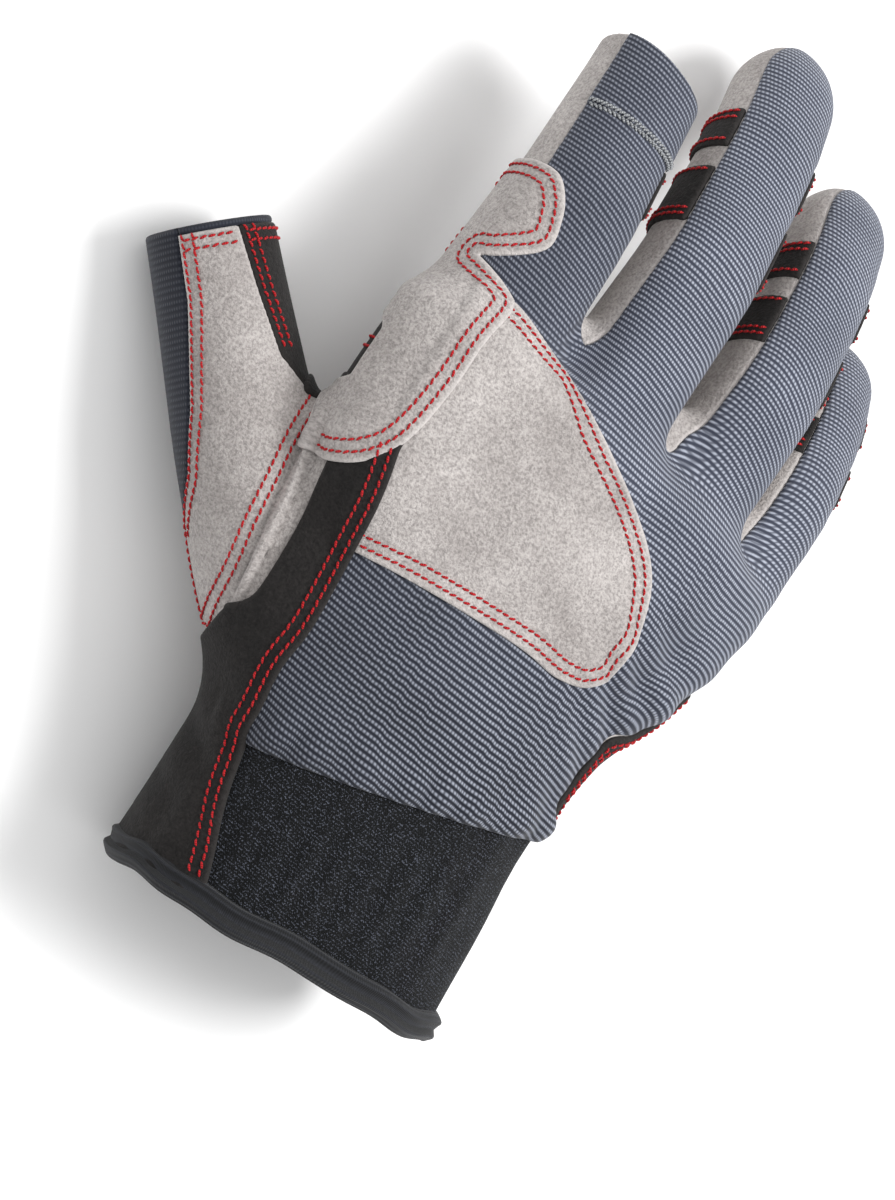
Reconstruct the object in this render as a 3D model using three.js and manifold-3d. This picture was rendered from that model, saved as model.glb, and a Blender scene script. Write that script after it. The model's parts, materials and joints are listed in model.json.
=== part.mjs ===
// A right-hand sailing glove, holding the shape of a relaxed hand and lying palm down.
//
// The frame is millimetres with +Z up. The glove rests on the plane z = 0, its fingers point along +Y
// and its thumb lies to -X. Inside, everything is built in the hand's own frame: the origin is the
// middle of the cuff's mouth, Y runs up the back of the hand and Z leaves it. The whole hand is then
// pitched and rolled into the attitude in which it rests on its cuff, thumb and fingertips.
//
// Every panel is a shell of cloth between an outer and an inner skin. Both skins are lofts through
// rounded sections; the panels are what is left after the seams, the folds and the mouth are cut.

import * as THREE from "three";
import { mergeVertices } from "three/addons/utils/BufferGeometryUtils.js";
import Module from "manifold-3d";

const wasm = await Module();
wasm.setup();

// ---- Driving dimensions: millimetres and degrees ------------------------------------------------

const FABRIC = 1.6; // a panel with its lining
const SEAM = 0.4; // space between two panels that are sewn together
const PATCH = 1.1; // a reinforcement patch
const LIFT = 0.3; // space between a patch and the panel under it
const FOLD_CLEARANCE = 0.35; // half the slit at a fold, on its hinge
const FINGER_SIDES = 18; // points round a finger's section
const HAND_SIDES = 30; // points round the hand's section
const FINGER_POWER = 2.25; // superellipse exponent of a section: 2 is an ellipse, more is squarer
const HAND_POWER = 2.35;
const RUN_ON = 14; // how far a skin is carried past the place where it will be cut
const DEEPER = 2; // and how much further an inner skin goes, so that the cut end is open
const FAR = 200; // a length beyond every side of the glove

const REST_PITCH = 4.2; // attitude of the hand on its resting points
const REST_ROLL = -0.5;

// The hand, from the mouth of the cuff to beyond the knuckles.
const HAND_RINGS = [
  { y: 0, x: 1, z: -7, halfWidth: 37, halfDepth: 23.5 },
  { y: 20, x: 0, z: -5, halfWidth: 36.5, halfDepth: 23 },
  { y: 38, x: -1, z: -3, halfWidth: 36.5, halfDepth: 22 },
  { y: 58, x: -1, z: -1, halfWidth: 39.5, halfDepth: 20.5 },
  { y: 80, x: -1, z: 0, halfWidth: 46, halfDepth: 18.5 },
  { y: 100, x: -1, z: 1, halfWidth: 50, halfDepth: 16.5 },
  { y: 125, x: -1, z: 1, halfWidth: 50.5, halfDepth: 15.5 },
];
const HEM = 5; // height of the binding round the mouth
const HEM_SWELL = 0.5; // how far the binding stands out from the cloth that it wraps
const CUFF = { top: 38, slant: 0.2 }; // the cuff's upper seam at the middle, and its rise to the right
const BACK_SEAM = { height: 7, slant: -0.08 }; // edge of the back, above the middle plane

// The knuckle fold is one hinge across the four finger roots, because the cloth between them is one.
const KNUCKLES = { x: 3, y: 99, z: 0.5, turn: -11, flexHalf: 34, extendHalf: 8 };

// Fingers: root is the knuckle's centre, yaw leans to the little finger's side, and each slope is a
// phalanx's angle below the hand. The half sizes are those at each joint and at the end.
const FINGERS = [
  {
    name: "index",
    root: [-34.5, 105, 0],
    yaw: 7,
    slopes: [8, 17],
    lengths: [46, 32],
    halfWidths: [16, 13.8, 11.4],
    halfDepths: [12.5, 11.6, 10.4],
    folds: [{ flexHalf: 40, extendHalf: 1 }],
    open: true,
    hem: 15,
    bands: true,
  },
  {
    name: "middle",
    root: [-4, 107, 3],
    yaw: 10,
    slopes: [12, 24, 35],
    lengths: [48, 30, 26],
    halfWidths: [12.6, 11.8, 11, 10.2],
    halfDepths: [12.5, 11, 10, 9.2],
    folds: [
      { flexHalf: 40, extendHalf: 1 },
      { flexHalf: 26, extendHalf: 1 },
    ],
    bands: true,
  },
  {
    name: "ring",
    root: [20.5, 101, 1],
    yaw: 13,
    slopes: [14, 28, 40],
    lengths: [44, 27, 25],
    halfWidths: [12.2, 11, 10.4, 9.7],
    halfDepths: [12.5, 10.8, 9.8, 9],
    folds: [
      { flexHalf: 40, extendHalf: 1 },
      { flexHalf: 26, extendHalf: 1 },
    ],
    bands: true,
  },
  {
    name: "little",
    root: [42, 92, -3],
    yaw: 16,
    slopes: [18, 34, 47],
    lengths: [36, 22, 22],
    halfWidths: [11.2, 10, 9.4, 8.8],
    halfDepths: [12, 10, 9.2, 8.5],
    folds: [
      { flexHalf: 40, extendHalf: 1 },
      { flexHalf: 26, extendHalf: 1 },
    ],
    bands: true,
  },
];
const SIDE_SEAM = 0.42; // height of a finger's side seam, as a share of its half depth
const GRIP_BAND = 9; // width of the suede band round the front of each phalanx
const BAND_START = 8; // from the joint to the band

// The thumb: base is its knuckle's centre and the two directions are those of the bone and the nail.
const THUMB = {
  name: "thumb",
  base: [-55.6, 79.4, -15.1],
  along: [-0.591, 0.743, -0.314],
  nail: [-0.804, -0.512, 0.301],
  slopes: [0, 0],
  lengths: [28, 14],
  halfWidths: [14.2, 13, 12.4],
  halfDepths: [14, 12.4, 11.8],
  folds: [{ flexHalf: 26, extendHalf: 7 }],
  open: true,
  hem: 7,
};
const THUMB_BASE_FOLD = { flexHalf: 18, extendHalf: 6 };
const THENAR = { back: 54, rootHalf: 18, middleHalf: 17.5, sink: -3 }; // cone from wrist to thumb
const CONE_SEAM = 34; // from the thumb's knuckle back to the seam where its cone meets the palm
const SIDE_STRIP = { right: -20, bottom: -3 }; // corner of the strip down the thumb's side

// The patches on the hand: their edges in the hand's frame.
const PALM_PATCH = { left: -18, right: 44, from: 52, to: 86, top: -8 };
const ULNAR_PATCH = { left: 22, from: 50, to: 82, bottom: -7.6 };

// The wrist closure: a tab that wraps from the thumb's side round under the wrist.
const TAB = { from: 9, to: 31, right: 14, pull: 6, top: -13.5 };
const TAB_CLOTH = 1.8;
const PAD = 1; // thickness of the hook pad and of the loop pad
const PAD_LENGTH = 26;

// ---- Materials ----------------------------------------------------------------------------------

const cloth = (color, roughness) => new THREE.MeshStandardMaterial({ color, roughness, metalness: 0 });
const RIB = cloth(0x4b5568, 0.85);
const SUEDE = cloth(0x9b9897, 0.95);
const BLACK_SUEDE = cloth(0x262424, 0.95);
const NEOPRENE = cloth(0x17191d, 0.8);
const BINDING = cloth(0x121316, 0.85);
const HOOK = cloth(0x1b1b1d, 0.6);

// ---- Shape tools --------------------------------------------------------------------------------

const radians = THREE.MathUtils.degToRad;
const vec = (array) => new THREE.Vector3(...array);

function sectionPoint(ring, angle, power) {
  const bend = (v) => Math.sign(v) * Math.abs(v) ** (2 / power);
  const x = (ring.x ?? 0) + ring.halfWidth * bend(Math.cos(angle));
  return [x, ring.y, (ring.z ?? 0) + ring.halfDepth * bend(Math.sin(angle))];
}

// A closed surface through sections that stand across Y, with flat ends.
function loft(rings, sides, power) {
  const step = (2 * Math.PI) / sides;
  const points = rings.flatMap((ring) =>
    Array.from({ length: sides }, (_, i) => sectionPoint(ring, (i + 0.5) * step, power)),
  );
  const faces = [];
  for (let r = 0; r + 1 < rings.length; r++)
    for (let i = 0; i < sides; i++) {
      const [a, b] = [r * sides + i, r * sides + ((i + 1) % sides)];
      faces.push(a, b + sides, b, a, a + sides, b + sides);
    }
  const last = (rings.length - 1) * sides;
  for (let i = 1; i + 1 < sides; i++) faces.push(0, i, i + 1, last, last + i + 1, last + i);
  return new THREE.BufferGeometry()
    .setAttribute("position", new THREE.Float32BufferAttribute(points.flat(), 3))
    .setIndex(faces);
}

// A skin that lies `out` outside the lofted one, or inside it where `out` is negative.
const offset = (rings, out) =>
  rings.map((r) => ({ ...r, halfWidth: r.halfWidth + out, halfDepth: r.halfDepth + out }));

// The same skin carried on past its ends, so that what it cuts is left open there.
function runOn(rings, before, after) {
  const [first, last] = [rings[0], rings[rings.length - 1]];
  const start = before ? [{ ...first, y: first.y - before }] : [];
  const end = after ? [{ ...last, y: last.y + after }] : [];
  return [...start, ...rings, ...end];
}

function solidOf(geometry, matrix = new THREE.Matrix4()) {
  const bare = geometry.clone().applyMatrix4(matrix);
  bare.deleteAttribute("normal");
  bare.deleteAttribute("uv");
  const merged = mergeVertices(bare, 1e-4);
  return new wasm.Manifold(
    new wasm.Mesh({
      numProp: 3,
      vertProperties: merged.getAttribute("position").array,
      triVerts: new Uint32Array(merged.index.array),
    }),
  );
}

function meshOf(name, solid, material) {
  const made = solid.getMesh();
  const geometry = new THREE.BufferGeometry()
    .setAttribute("position", new THREE.BufferAttribute(made.vertProperties, 3))
    .setIndex(new THREE.BufferAttribute(made.triVerts, 1));
  geometry.computeVertexNormals();
  const mesh = new THREE.Mesh(geometry, material);
  mesh.name = name;
  return mesh;
}

// Keeps the part of a solid on the side of a plane that its normal points to.
function keep(solid, normal, point = [0, 0, 0], matrix = new THREE.Matrix4()) {
  const plane = new THREE.Plane()
    .setFromNormalAndCoplanarPoint(vec(normal).normalize(), vec(point))
    .applyMatrix4(matrix);
  return solid.trimByPlane(plane.normal.toArray(), -plane.constant);
}

// Keeps what lies between two values of x, y or z; either may be null.
function between(solid, axis, low, high) {
  const unit = [0, 1, 2].map((i) => (i === axis ? 1 : 0));
  const down = unit.map((u) => -u);
  const above = low === null ? solid : keep(solid, unit, unit.map((u) => u * low));
  return high === null ? above : keep(above, down, unit.map((u) => u * high));
}
const [X, Y, Z] = [0, 1, 2];

// Keeps one side of a fold: side is -1 before the hinge and 1 after it. In the hinge's frame X is the
// hinge and Z is the back. The two sides lean apart below it, to flex, and above it, to extend.
function foldSide(solid, side, fold, hinge = new THREE.Matrix4()) {
  const start = [0, side * FOLD_CLEARANCE, 0];
  const below = keep(solid, [0, side, Math.tan(radians(fold.flexHalf))], start, hinge);
  return keep(below, [0, side, -Math.tan(radians(fold.extendHalf))], start, hinge);
}

// A frame at a point, turned about Z towards the little finger and then down about its own X.
function frameAt(position, yaw, slope) {
  const turn = new THREE.Euler(radians(-slope), 0, radians(-yaw), "ZXY");
  return new THREE.Matrix4().makeRotationFromEuler(turn).setPosition(...position);
}

// ---- Fingers and thumb --------------------------------------------------------------------------

const isLast = (finger, k) => k === finger.lengths.length - 1;
const fingerSolid = (rings, matrix) => solidOf(loft(rings, FINGER_SIDES, FINGER_POWER), matrix);

// The sections of one phalanx, from its joint to the next, to an open end or to a rounded tip.
function phalanxRings(finger, k) {
  const [w0, w1] = finger.halfWidths.slice(k, k + 2);
  const [d0, d1] = finger.halfDepths.slice(k, k + 2);
  const start = { y: 0, halfWidth: w0, halfDepth: d0 };
  const length = finger.lengths[k];
  if (!isLast(finger, k) || finger.open) return [start, { y: length, halfWidth: w1, halfDepth: d1 }];
  const round = (angle) => ({
    y: length - d1 + d1 * Math.sin(radians(angle)),
    halfWidth: w1 * Math.cos(radians(angle)),
    halfDepth: d1 * Math.cos(radians(angle)),
  });
  return [start, ...[0, 36, 64, 84].map(round)];
}

// The inner skin of the same phalanx, carried on past its open ends.
function cavityRings(finger, k) {
  const rings = phalanxRings(finger, k);
  if (!isLast(finger, k) || finger.open) return runOn(offset(rings, -FABRIC), RUN_ON + DEEPER, RUN_ON);
  const inner = offset(rings, -FABRIC).filter((ring) => ring.halfDepth > 0);
  return runOn(inner, RUN_ON + DEEPER, 0);
}

// Cuts a shell along its side seams into the back, and the front that wraps the other three sides.
function backAndFront(shell, seamHeight) {
  const back = between(shell, Z, seamHeight + SEAM / 2, null);
  return [back, between(shell, Z, null, seamHeight - SEAM / 2)];
}

// A suede band over the front of a phalanx, between two distances along it.
function frontBand(finger, k, from, to) {
  const rings = phalanxRings(finger, k);
  const outer = fingerSolid(runOn(offset(rings, LIFT + PATCH), RUN_ON, 0));
  const inner = fingerSolid(runOn(offset(rings, LIFT), RUN_ON + DEEPER, DEEPER));
  const top = SIDE_SEAM * finger.halfDepths[k] - 0.6;
  return between(between(outer.subtract(inner), Y, from, to), Z, null, top);
}

// The turned hem round an open end.
function openHem(finger, k) {
  const halfWidth = finger.halfWidths[k + 1] + HEM_SWELL;
  const halfDepth = finger.halfDepths[k + 1] + HEM_SWELL;
  const end = finger.lengths[k];
  const rings = [end - finger.hem, end].map((y) => ({ y, halfWidth, halfDepth }));
  const inner = runOn(offset(rings, -FABRIC - HEM_SWELL), DEEPER, DEEPER);
  return meshOf(`${finger.name}_hem`, fingerSolid(rings).subtract(fingerSolid(inner)), RIB);
}

// The panels of phalanx k, cut to its folds. `trim` cuts the start of a first phalanx.
function phalanxPanels(finger, k, label, trim) {
  const rings = phalanxRings(finger, k);
  const last = isLast(finger, k);
  const outer = fingerSolid(runOn(rings, RUN_ON, last ? 0 : RUN_ON / 2));
  let shell = trim(outer.subtract(fingerSolid(cavityRings(finger, k))));
  const farHinge = new THREE.Matrix4().setPosition(0, finger.lengths[k], 0);
  if (!last) shell = foldSide(shell, -1, finger.folds[k], farHinge);
  if (last && finger.open) shell = between(shell, Y, null, finger.lengths[k] - finger.hem - SEAM);
  const [back, front] = backAndFront(shell, SIDE_SEAM * finger.halfDepths[k]);
  const name = `${finger.name}_${label}`;
  return [meshOf(`${name}_back`, back, RIB), meshOf(`${name}_front`, front, SUEDE)];
}

// The phalanges beyond the first, each in a group at its own joint.
function fingerEnd(finger, k = 1) {
  const group = new THREE.Group();
  group.position.set(0, finger.lengths[k - 1], 0);
  group.rotation.x = radians(finger.slopes[k - 1] - finger.slopes[k]);
  const label = isLast(finger, k) ? "tip" : "mid";
  const trim = (solid) => foldSide(solid, 1, finger.folds[k - 1]);
  group.add(...phalanxPanels(finger, k, label, trim));
  if (finger.bands) {
    const band = trim(frontBand(finger, k, BAND_START, BAND_START + GRIP_BAND));
    group.add(meshOf(`${finger.name}_${label}_grip_band`, band, BLACK_SUEDE));
  }
  if (!isLast(finger, k)) group.add(fingerEnd(finger, k + 1));
  if (finger.open) group.add(openHem(finger, k));
  return group;
}

// ---- The hand -----------------------------------------------------------------------------------

const knuckleFrame = frameAt([KNUCKLES.x, KNUCKLES.y, KNUCKLES.z], -KNUCKLES.turn, 0);
const thumbAlong = vec(THUMB.along).normalize();
const thumbNail = vec(THUMB.nail).projectOnPlane(thumbAlong).normalize();
const thumbFrame = new THREE.Matrix4()
  .makeBasis(thumbAlong.clone().cross(thumbNail), thumbAlong, thumbNail)
  .setPosition(...THUMB.base);

// The cone of cloth from the wrist to the thumb's knuckle, in the thumb's frame.
const { back: coneLength, rootHalf, middleHalf, sink } = THENAR;
const THENAR_RINGS = [
  { y: -coneLength, z: sink, halfWidth: rootHalf, halfDepth: rootHalf },
  { y: -coneLength / 2, z: sink, halfWidth: middleHalf, halfDepth: middleHalf },
  { y: 0, halfWidth: THUMB.halfWidths[0], halfDepth: THUMB.halfDepths[0] },
];

// The hand and the thumb's cone as one skin, `out` outside the cloth's face.
function handSkin(out, run = 0) {
  const hand = solidOf(loft(runOn(offset(HAND_RINGS, out), run, run), HAND_SIDES, HAND_POWER));
  const cone = loft(runOn(offset(THENAR_RINGS, out), 0, RUN_ON / 2 + run), FINGER_SIDES, 2);
  return hand.add(solidOf(cone, thumbFrame));
}

// The glove from mouth to knuckles, cut clear of the two folds it ends at.
const handCloth = (outer, inner) => handSkin(outer).subtract(handSkin(inner, RUN_ON));
function handShell(outer, inner) {
  const shell = foldSide(handCloth(outer, inner), -1, KNUCKLES, knuckleFrame);
  return foldSide(shell, -1, THUMB_BASE_FOLD, thumbFrame);
}

const backNormal = [-BACK_SEAM.slant, 0, 1];
const above = (solid, gap) => keep(solid, backNormal, [0, 0, BACK_SEAM.height + gap]);
const below = (solid, gap) => keep(solid, backNormal.map((v) => -v), [0, 0, BACK_SEAM.height - gap]);
const upFromCuff = (solid) => keep(solid, [-CUFF.slant, 1, 0], [0, CUFF.top + SEAM / 2, 0]);
const downToCuff = (solid) => keep(solid, [CUFF.slant, -1, 0], [0, CUFF.top - SEAM / 2, 0]);

// A block that covers the thumb's side of the hand above the palm, grown by a margin.
function sideBlock(margin) {
  const box = new THREE.BoxGeometry(FAR, 2 * FAR, FAR);
  const [right, bottom] = [SIDE_STRIP.right + margin, SIDE_STRIP.bottom - margin];
  return solidOf(box.translate(right - FAR / 2, 0, bottom + FAR / 2));
}

// The outline of the patch that covers the knuckles, drawn as seen from above the hand.
function knuckleOutline() {
  const shape = new THREE.Shape();
  shape.moveTo(-37, 76);
  shape.lineTo(12, 72);
  shape.bezierCurveTo(22, 72, 27, 84, 21, 95);
  shape.quadraticCurveTo(10, 108, -10, 116);
  shape.lineTo(-36, 124);
  shape.quadraticCurveTo(-42, 100, -37, 76);
  return solidOf(new THREE.ExtrudeGeometry(shape, { depth: 60, bevelEnabled: false, curveSegments: 7 }));
}

function handPanels() {
  const shell = handShell(0, -FABRIC);
  const upper = upFromCuff(above(shell, SEAM / 2));
  const lower = upFromCuff(below(shell, SEAM / 2));
  const palmSide = lower.subtract(sideBlock(SEAM));
  const thenarEdge = (offsetAlong) => vec(THUMB.base).addScaledVector(thumbAlong, offsetAlong).toArray();
  return [
    meshOf("back_panel", upper, RIB),
    meshOf("side_strip", lower.intersect(sideBlock(0)), BLACK_SUEDE),
    meshOf("palm_panel", keep(palmSide, thumbAlong.clone().negate().toArray(), thenarEdge(-CONE_SEAM)), SUEDE),
    meshOf("thenar_panel", keep(palmSide, thumbAlong.toArray(), thenarEdge(SEAM - CONE_SEAM)), SUEDE),
  ];
}

function cuffPanels() {
  const cuff = downToCuff(between(handShell(0, -FABRIC), Y, HEM + SEAM, null));
  const bindingRings = HAND_RINGS.slice(0, 1).flatMap((ring) => [ring, { ...ring, y: HEM }]);
  const binding = loft(offset(bindingRings, HEM_SWELL), HAND_SIDES, HAND_POWER);
  const mouth = loft(runOn(offset(bindingRings, -FABRIC - HEM_SWELL), DEEPER, DEEPER), HAND_SIDES, HAND_POWER);
  return [
    meshOf("cuff_back", above(cuff, SEAM / 2), NEOPRENE),
    meshOf("cuff_front", below(cuff, SEAM / 2), NEOPRENE),
    meshOf("cuff_binding", solidOf(binding).subtract(solidOf(mouth)), BINDING),
  ];
}

function handPatches() {
  const shell = handShell(LIFT + PATCH, LIFT);
  const pastFold = foldSide(handCloth(LIFT + PATCH, LIFT), 1, KNUCKLES, knuckleFrame);
  const { left, right, from, to, top } = PALM_PATCH;
  const palm = between(between(between(shell, X, left, right), Y, from, to), Z, null, top);
  const side = between(between(shell, X, ULNAR_PATCH.left, null), Y, ULNAR_PATCH.from, ULNAR_PATCH.to);
  return [
    meshOf("knuckle_patch_lower", above(shell, 1).intersect(knuckleOutline()), SUEDE),
    meshOf("knuckle_patch_upper", above(pastFold, 1).intersect(knuckleOutline()), SUEDE),
    meshOf("palm_patch", palm, BLACK_SUEDE),
    meshOf("ulnar_patch", below(between(side, Z, ULNAR_PATCH.bottom, null), 1), BLACK_SUEDE),
  ];
}

// ---- The wrist closure --------------------------------------------------------------------------

// A strip of cloth that follows the underside of the cuff, from x = left to x = right.
function wristStrip(inner, thickness, left, right, from, to) {
  const skin = (out) => solidOf(loft(runOn(offset(HAND_RINGS, out), RUN_ON, 0), HAND_SIDES, HAND_POWER));
  const strip = between(skin(inner + thickness).subtract(skin(inner)), Y, from, to);
  return between(between(strip, X, left, right), Z, null, TAB.top);
}

function closure() {
  const { from, to, right, pull } = TAB;
  const padLeft = right - PAD_LENGTH;
  const overLoop = LIFT + PAD + LIFT;
  const overHook = overLoop + PAD + LIFT;
  const loop = wristStrip(LIFT, PAD, padLeft, right + pull, from + 2, to - 2);
  const hook = wristStrip(overLoop, PAD, padLeft, right - 1, from + 2, to - 2);
  const tab = wristStrip(overHook, TAB_CLOTH, null, right, from, to);
  const end = wristStrip(overHook, TAB_CLOTH + 0.4, right + SEAM, right + pull, from, to);
  return [
    meshOf("wrist_loop_pad", loop, HOOK),
    meshOf("wrist_hook_pad", hook, HOOK),
    meshOf("wrist_tab", tab, NEOPRENE),
    meshOf("wrist_tab_pull", end, BINDING),
  ];
}

// ---- Assembly -----------------------------------------------------------------------------------

// The midplanes between a finger's root and its neighbours', which keep the four tubes apart.
function parted(shell, i, toFinger) {
  const side = (j, sign) => {
    if (!FINGERS[j]) return null;
    const middle = vec(FINGERS[i].root).add(vec(FINGERS[j].root)).multiplyScalar(0.5);
    const yaw = radians((FINGERS[i].yaw + FINGERS[j].yaw) / 2);
    const normal = vec([Math.cos(yaw), -Math.sin(yaw), 0]).multiplyScalar(-sign);
    return [normal.toArray(), middle.addScaledVector(normal, SEAM / 2).toArray()];
  };
  const planes = [side(i - 1, -1), side(i + 1, 1)].filter(Boolean);
  return planes.reduce((solid, [normal, point]) => keep(solid, normal, point, toFinger), shell);
}

function fingerGroup(finger, i) {
  const group = new THREE.Group();
  const place = frameAt(finger.root, finger.yaw, finger.slopes[0]);
  place.decompose(group.position, group.quaternion, group.scale);
  const toFinger = place.clone().invert();
  const knuckleHere = toFinger.clone().multiply(knuckleFrame);
  const trim = (shell) => parted(foldSide(shell, 1, KNUCKLES, knuckleHere), i, toFinger);
  group.add(...phalanxPanels(finger, 0, "root", trim), fingerEnd(finger));
  return group;
}

function thumbGroup() {
  const group = new THREE.Group();
  thumbFrame.decompose(group.position, group.quaternion, group.scale);
  const trim = (shell) => foldSide(shell, 1, THUMB_BASE_FOLD);
  group.add(...phalanxPanels(THUMB, 0, "root", trim), fingerEnd(THUMB));
  return group;
}

const hand = new THREE.Group();
hand.add(...handPanels(), ...cuffPanels(), ...handPatches(), ...closure());
hand.add(...FINGERS.map(fingerGroup), thumbGroup());
hand.rotation.set(radians(REST_PITCH), radians(REST_ROLL), 0);

const glove = new THREE.Group();
glove.add(hand);
const box = new THREE.Box3().setFromObject(glove, true);
const middle = box.getCenter(new THREE.Vector3());
hand.position.set(-middle.x, -middle.y, -box.min.z);

export default glove;
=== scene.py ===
import json
import math
from functools import reduce

import bpy
import numpy as np
from mathutils import Matrix, Vector
from mathutils.kdtree import KDTree


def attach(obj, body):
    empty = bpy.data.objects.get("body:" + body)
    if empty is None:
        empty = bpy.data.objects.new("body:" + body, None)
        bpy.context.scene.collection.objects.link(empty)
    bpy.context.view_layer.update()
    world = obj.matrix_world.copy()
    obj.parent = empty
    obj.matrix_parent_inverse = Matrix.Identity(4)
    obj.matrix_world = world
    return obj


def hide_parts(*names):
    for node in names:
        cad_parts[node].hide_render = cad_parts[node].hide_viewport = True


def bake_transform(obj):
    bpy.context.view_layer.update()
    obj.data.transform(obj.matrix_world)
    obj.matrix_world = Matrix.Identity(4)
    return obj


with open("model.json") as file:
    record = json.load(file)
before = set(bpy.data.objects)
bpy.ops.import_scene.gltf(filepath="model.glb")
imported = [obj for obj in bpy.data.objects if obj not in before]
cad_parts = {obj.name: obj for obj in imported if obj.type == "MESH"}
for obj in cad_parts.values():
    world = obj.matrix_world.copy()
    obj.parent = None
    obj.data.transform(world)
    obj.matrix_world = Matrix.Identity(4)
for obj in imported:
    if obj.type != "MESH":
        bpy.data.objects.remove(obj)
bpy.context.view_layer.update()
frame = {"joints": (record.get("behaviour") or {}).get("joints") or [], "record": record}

# The looks of a right-hand sailing glove, built round its imported model.
#
# Lengths are millimetres in the hand's own frame, as in the CAD part: X to the little finger's side,
# Y up the back of the hand from the cuff's mouth, Z out of the back. The glove's skin is one distance
# field, meshed once. Each panel and patch is a shell cut from that skin along its seams, and each shell
# is split where the glove folds, so that no piece crosses more than one joint.

# ---- Driving sizes ------------------------------------------------------------------------------

MM = 0.001
TURN = 2 * math.pi
CELL = 0.62  # spacing of the mesh that the panels are cut from
CLOTH, CUFF_CLOTH = 1.0, 1.6  # thickness of a panel, and of the cuff
SUEDE, THIN_SUEDE = 0.8, 0.6  # thickness of a patch
BACK_LIFT, CUFF_LIFT = 0.35, -0.3  # how far the ribbed back and the cuff lie above the suede front
PALM_LIFT, GRIP_LIFT = 0.9, 0.8  # of the patches on the palm and in the thumb's crotch, and of the grip bands
HAND_POWER = 2.35  # superellipse exponents of the sections
FINGER_POWER = 2.25

# The hand's sections: y, centre x and z, half width, half depth.
HAND_RINGS = np.array(
    [
        (-20, 1, -7, 37, 23.5),
        (0, 1, -7, 37, 23.5),
        (20, -0.4, -5, 36.1, 23),
        (38, -2.2, -3, 35.3, 22),
        (58, -2.8, -1, 37, 20.5),
        (80, -2.9, 0, 43, 18.5),
        (100, -2.2, 1, 47.6, 16.5),
        (130, -1, 1, 49.5, 15.5),
    ]
)
CUFF_TOP, CUFF_SLANT = 38, 0.2  # seam between the cuff and the back, at x = 0, and its rise with x
HEM = 5  # height of the binding round the mouth

# Fingers: slopes of the phalanges below the hand in degrees, their lengths, half widths and half depths
# from joint to joint, and the grip bands by distance from the knuckle. shift moves a finger across, tail
# moves its root, roll tips its seam and slant leans its ribs.
FINGERS = {
    "index": dict(
        slopes=[8, 17], lengths=[46, 32], widths=[14.8, 12.7, 10.9], depths=[12.5, 11.6, 10.4],
        bands=[(52, 62)], open=True, shift=1.0,
    ),
    "middle": dict(
        slopes=[12, 24, 35], lengths=[48, 30, 26], widths=[12.6, 11.8, 11, 10.2],
        depths=[12.5, 11, 10, 9.2], bands=[(51.7, 65.3), (70.7, 80)], open=False, shift=-1.3, roll=3,
    ),
    "ring": dict(
        slopes=[14, 28, 40], lengths=[44, 27, 25], widths=[12.2, 11, 10.4, 9.7],
        depths=[12.5, 10.8, 9.8, 9], bands=[(47, 58.3), (63.8, 73)], open=False, shift=0.6, roll=12,
        slant=0.38,
    ),
    "little": dict(
        slopes=[18, 34, 47], lengths=[36, 22, 22], widths=[9.6, 9.6, 9.2, 8.6],
        depths=[12, 10, 9.2, 8.5], bands=[(42, 51.5), (57.7, 66)], open=False, roll=30, shift=-1.6, tail=-4.6,
    ),
}
SIDE_SEAM = 0.42  # height of a side seam above or below the middle, as a share of the half depth
COVERSTITCH = 15  # the row across the index finger, from its mouth
RIDGE_PITCH = 3.1  # between the ridges of the binding round the cuff's mouth
ULNAR_RISE = 9.5  # the seam climbs here above the black patch at the heel of the hand
RIB_SLANT = 0.15  # the ribs fall to the right by this much

# Webs between neighbouring fingers: the end of each, just behind the crotch.
WEBS = [(-14, 127, -3), (13.6, 123, -3.5), (37.7, 113.5, -7.3)]
WEB_BACK, WEB_RADIUS = 26, 6.5

FINGER_ENDS = 30  # a finger's tube runs on this far past its knuckle and its tip

THUMB_LENGTHS = [28, 14]
THUMB_NAIL = (-0.804, -0.512, 0.301)
THUMB_RINGS = np.array(  # distance from the knuckle, half width, half depth, sink below the nail side
    [(-54, 15, 15, -4), (-27, 17, 17, -3.5), (0, 14.2, 14, 0), (28, 13, 12.4, 0), (60, 12, 11.4, 0)]
)
THUMB_TAPE = 1.5  # the ribbed tape shows this far past the thumb's suede
THUMB_WEB = [(-34, 60, -3), (-43.2, 83.5, -8)]
THUMB_WEB_RADIUS = 7

# ---- Frames -------------------------------------------------------------------------------------

JOINT = {joint["name"]: joint for joint in frame["joints"]}
ENTRY = next(m for m in frame["record"]["mounts"] if m["name"] == "hand_entry")


def unit(vector):
    vector = np.asarray(vector, float)
    return vector / np.linalg.norm(vector)


def hand_axes():
    """The hand's X, Y and Z as rows, in the row frame, and its origin in millimetres."""
    up_hand = -unit(ENTRY["axis"])
    dorsal = unit(np.cross(-np.array(JOINT["knuckle_fold"]["axis"]), up_hand))
    axes = np.array([np.cross(up_hand, dorsal), up_hand, dorsal])
    mouth = HAND_RINGS[1][[1, 0, 2]]
    return axes, np.array(ENTRY["pos_m"]) / MM - mouth @ axes


AXES, ORIGIN = hand_axes()


def to_hand(place_m):
    return AXES @ (np.asarray(place_m, float) / MM - ORIGIN)


def to_row(points):
    return (ORIGIN + np.asarray(points) @ AXES) * MM


# The view plane: the direction that the hand is photographed from leans to the thumb's side.
TILT = math.radians(28)
VIEW_BACK = np.array([-math.sin(TILT), 0, math.cos(TILT)])
VIEW_ACROSS = np.array([math.cos(TILT), 0, math.sin(TILT)])


def in_view(points):
    """Across and up, as the camera's plane sees a point before the camera is rolled."""
    return points @ VIEW_ACROSS, points[:, 1]


# ---- The skin as a distance field ---------------------------------------------------------------


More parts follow.
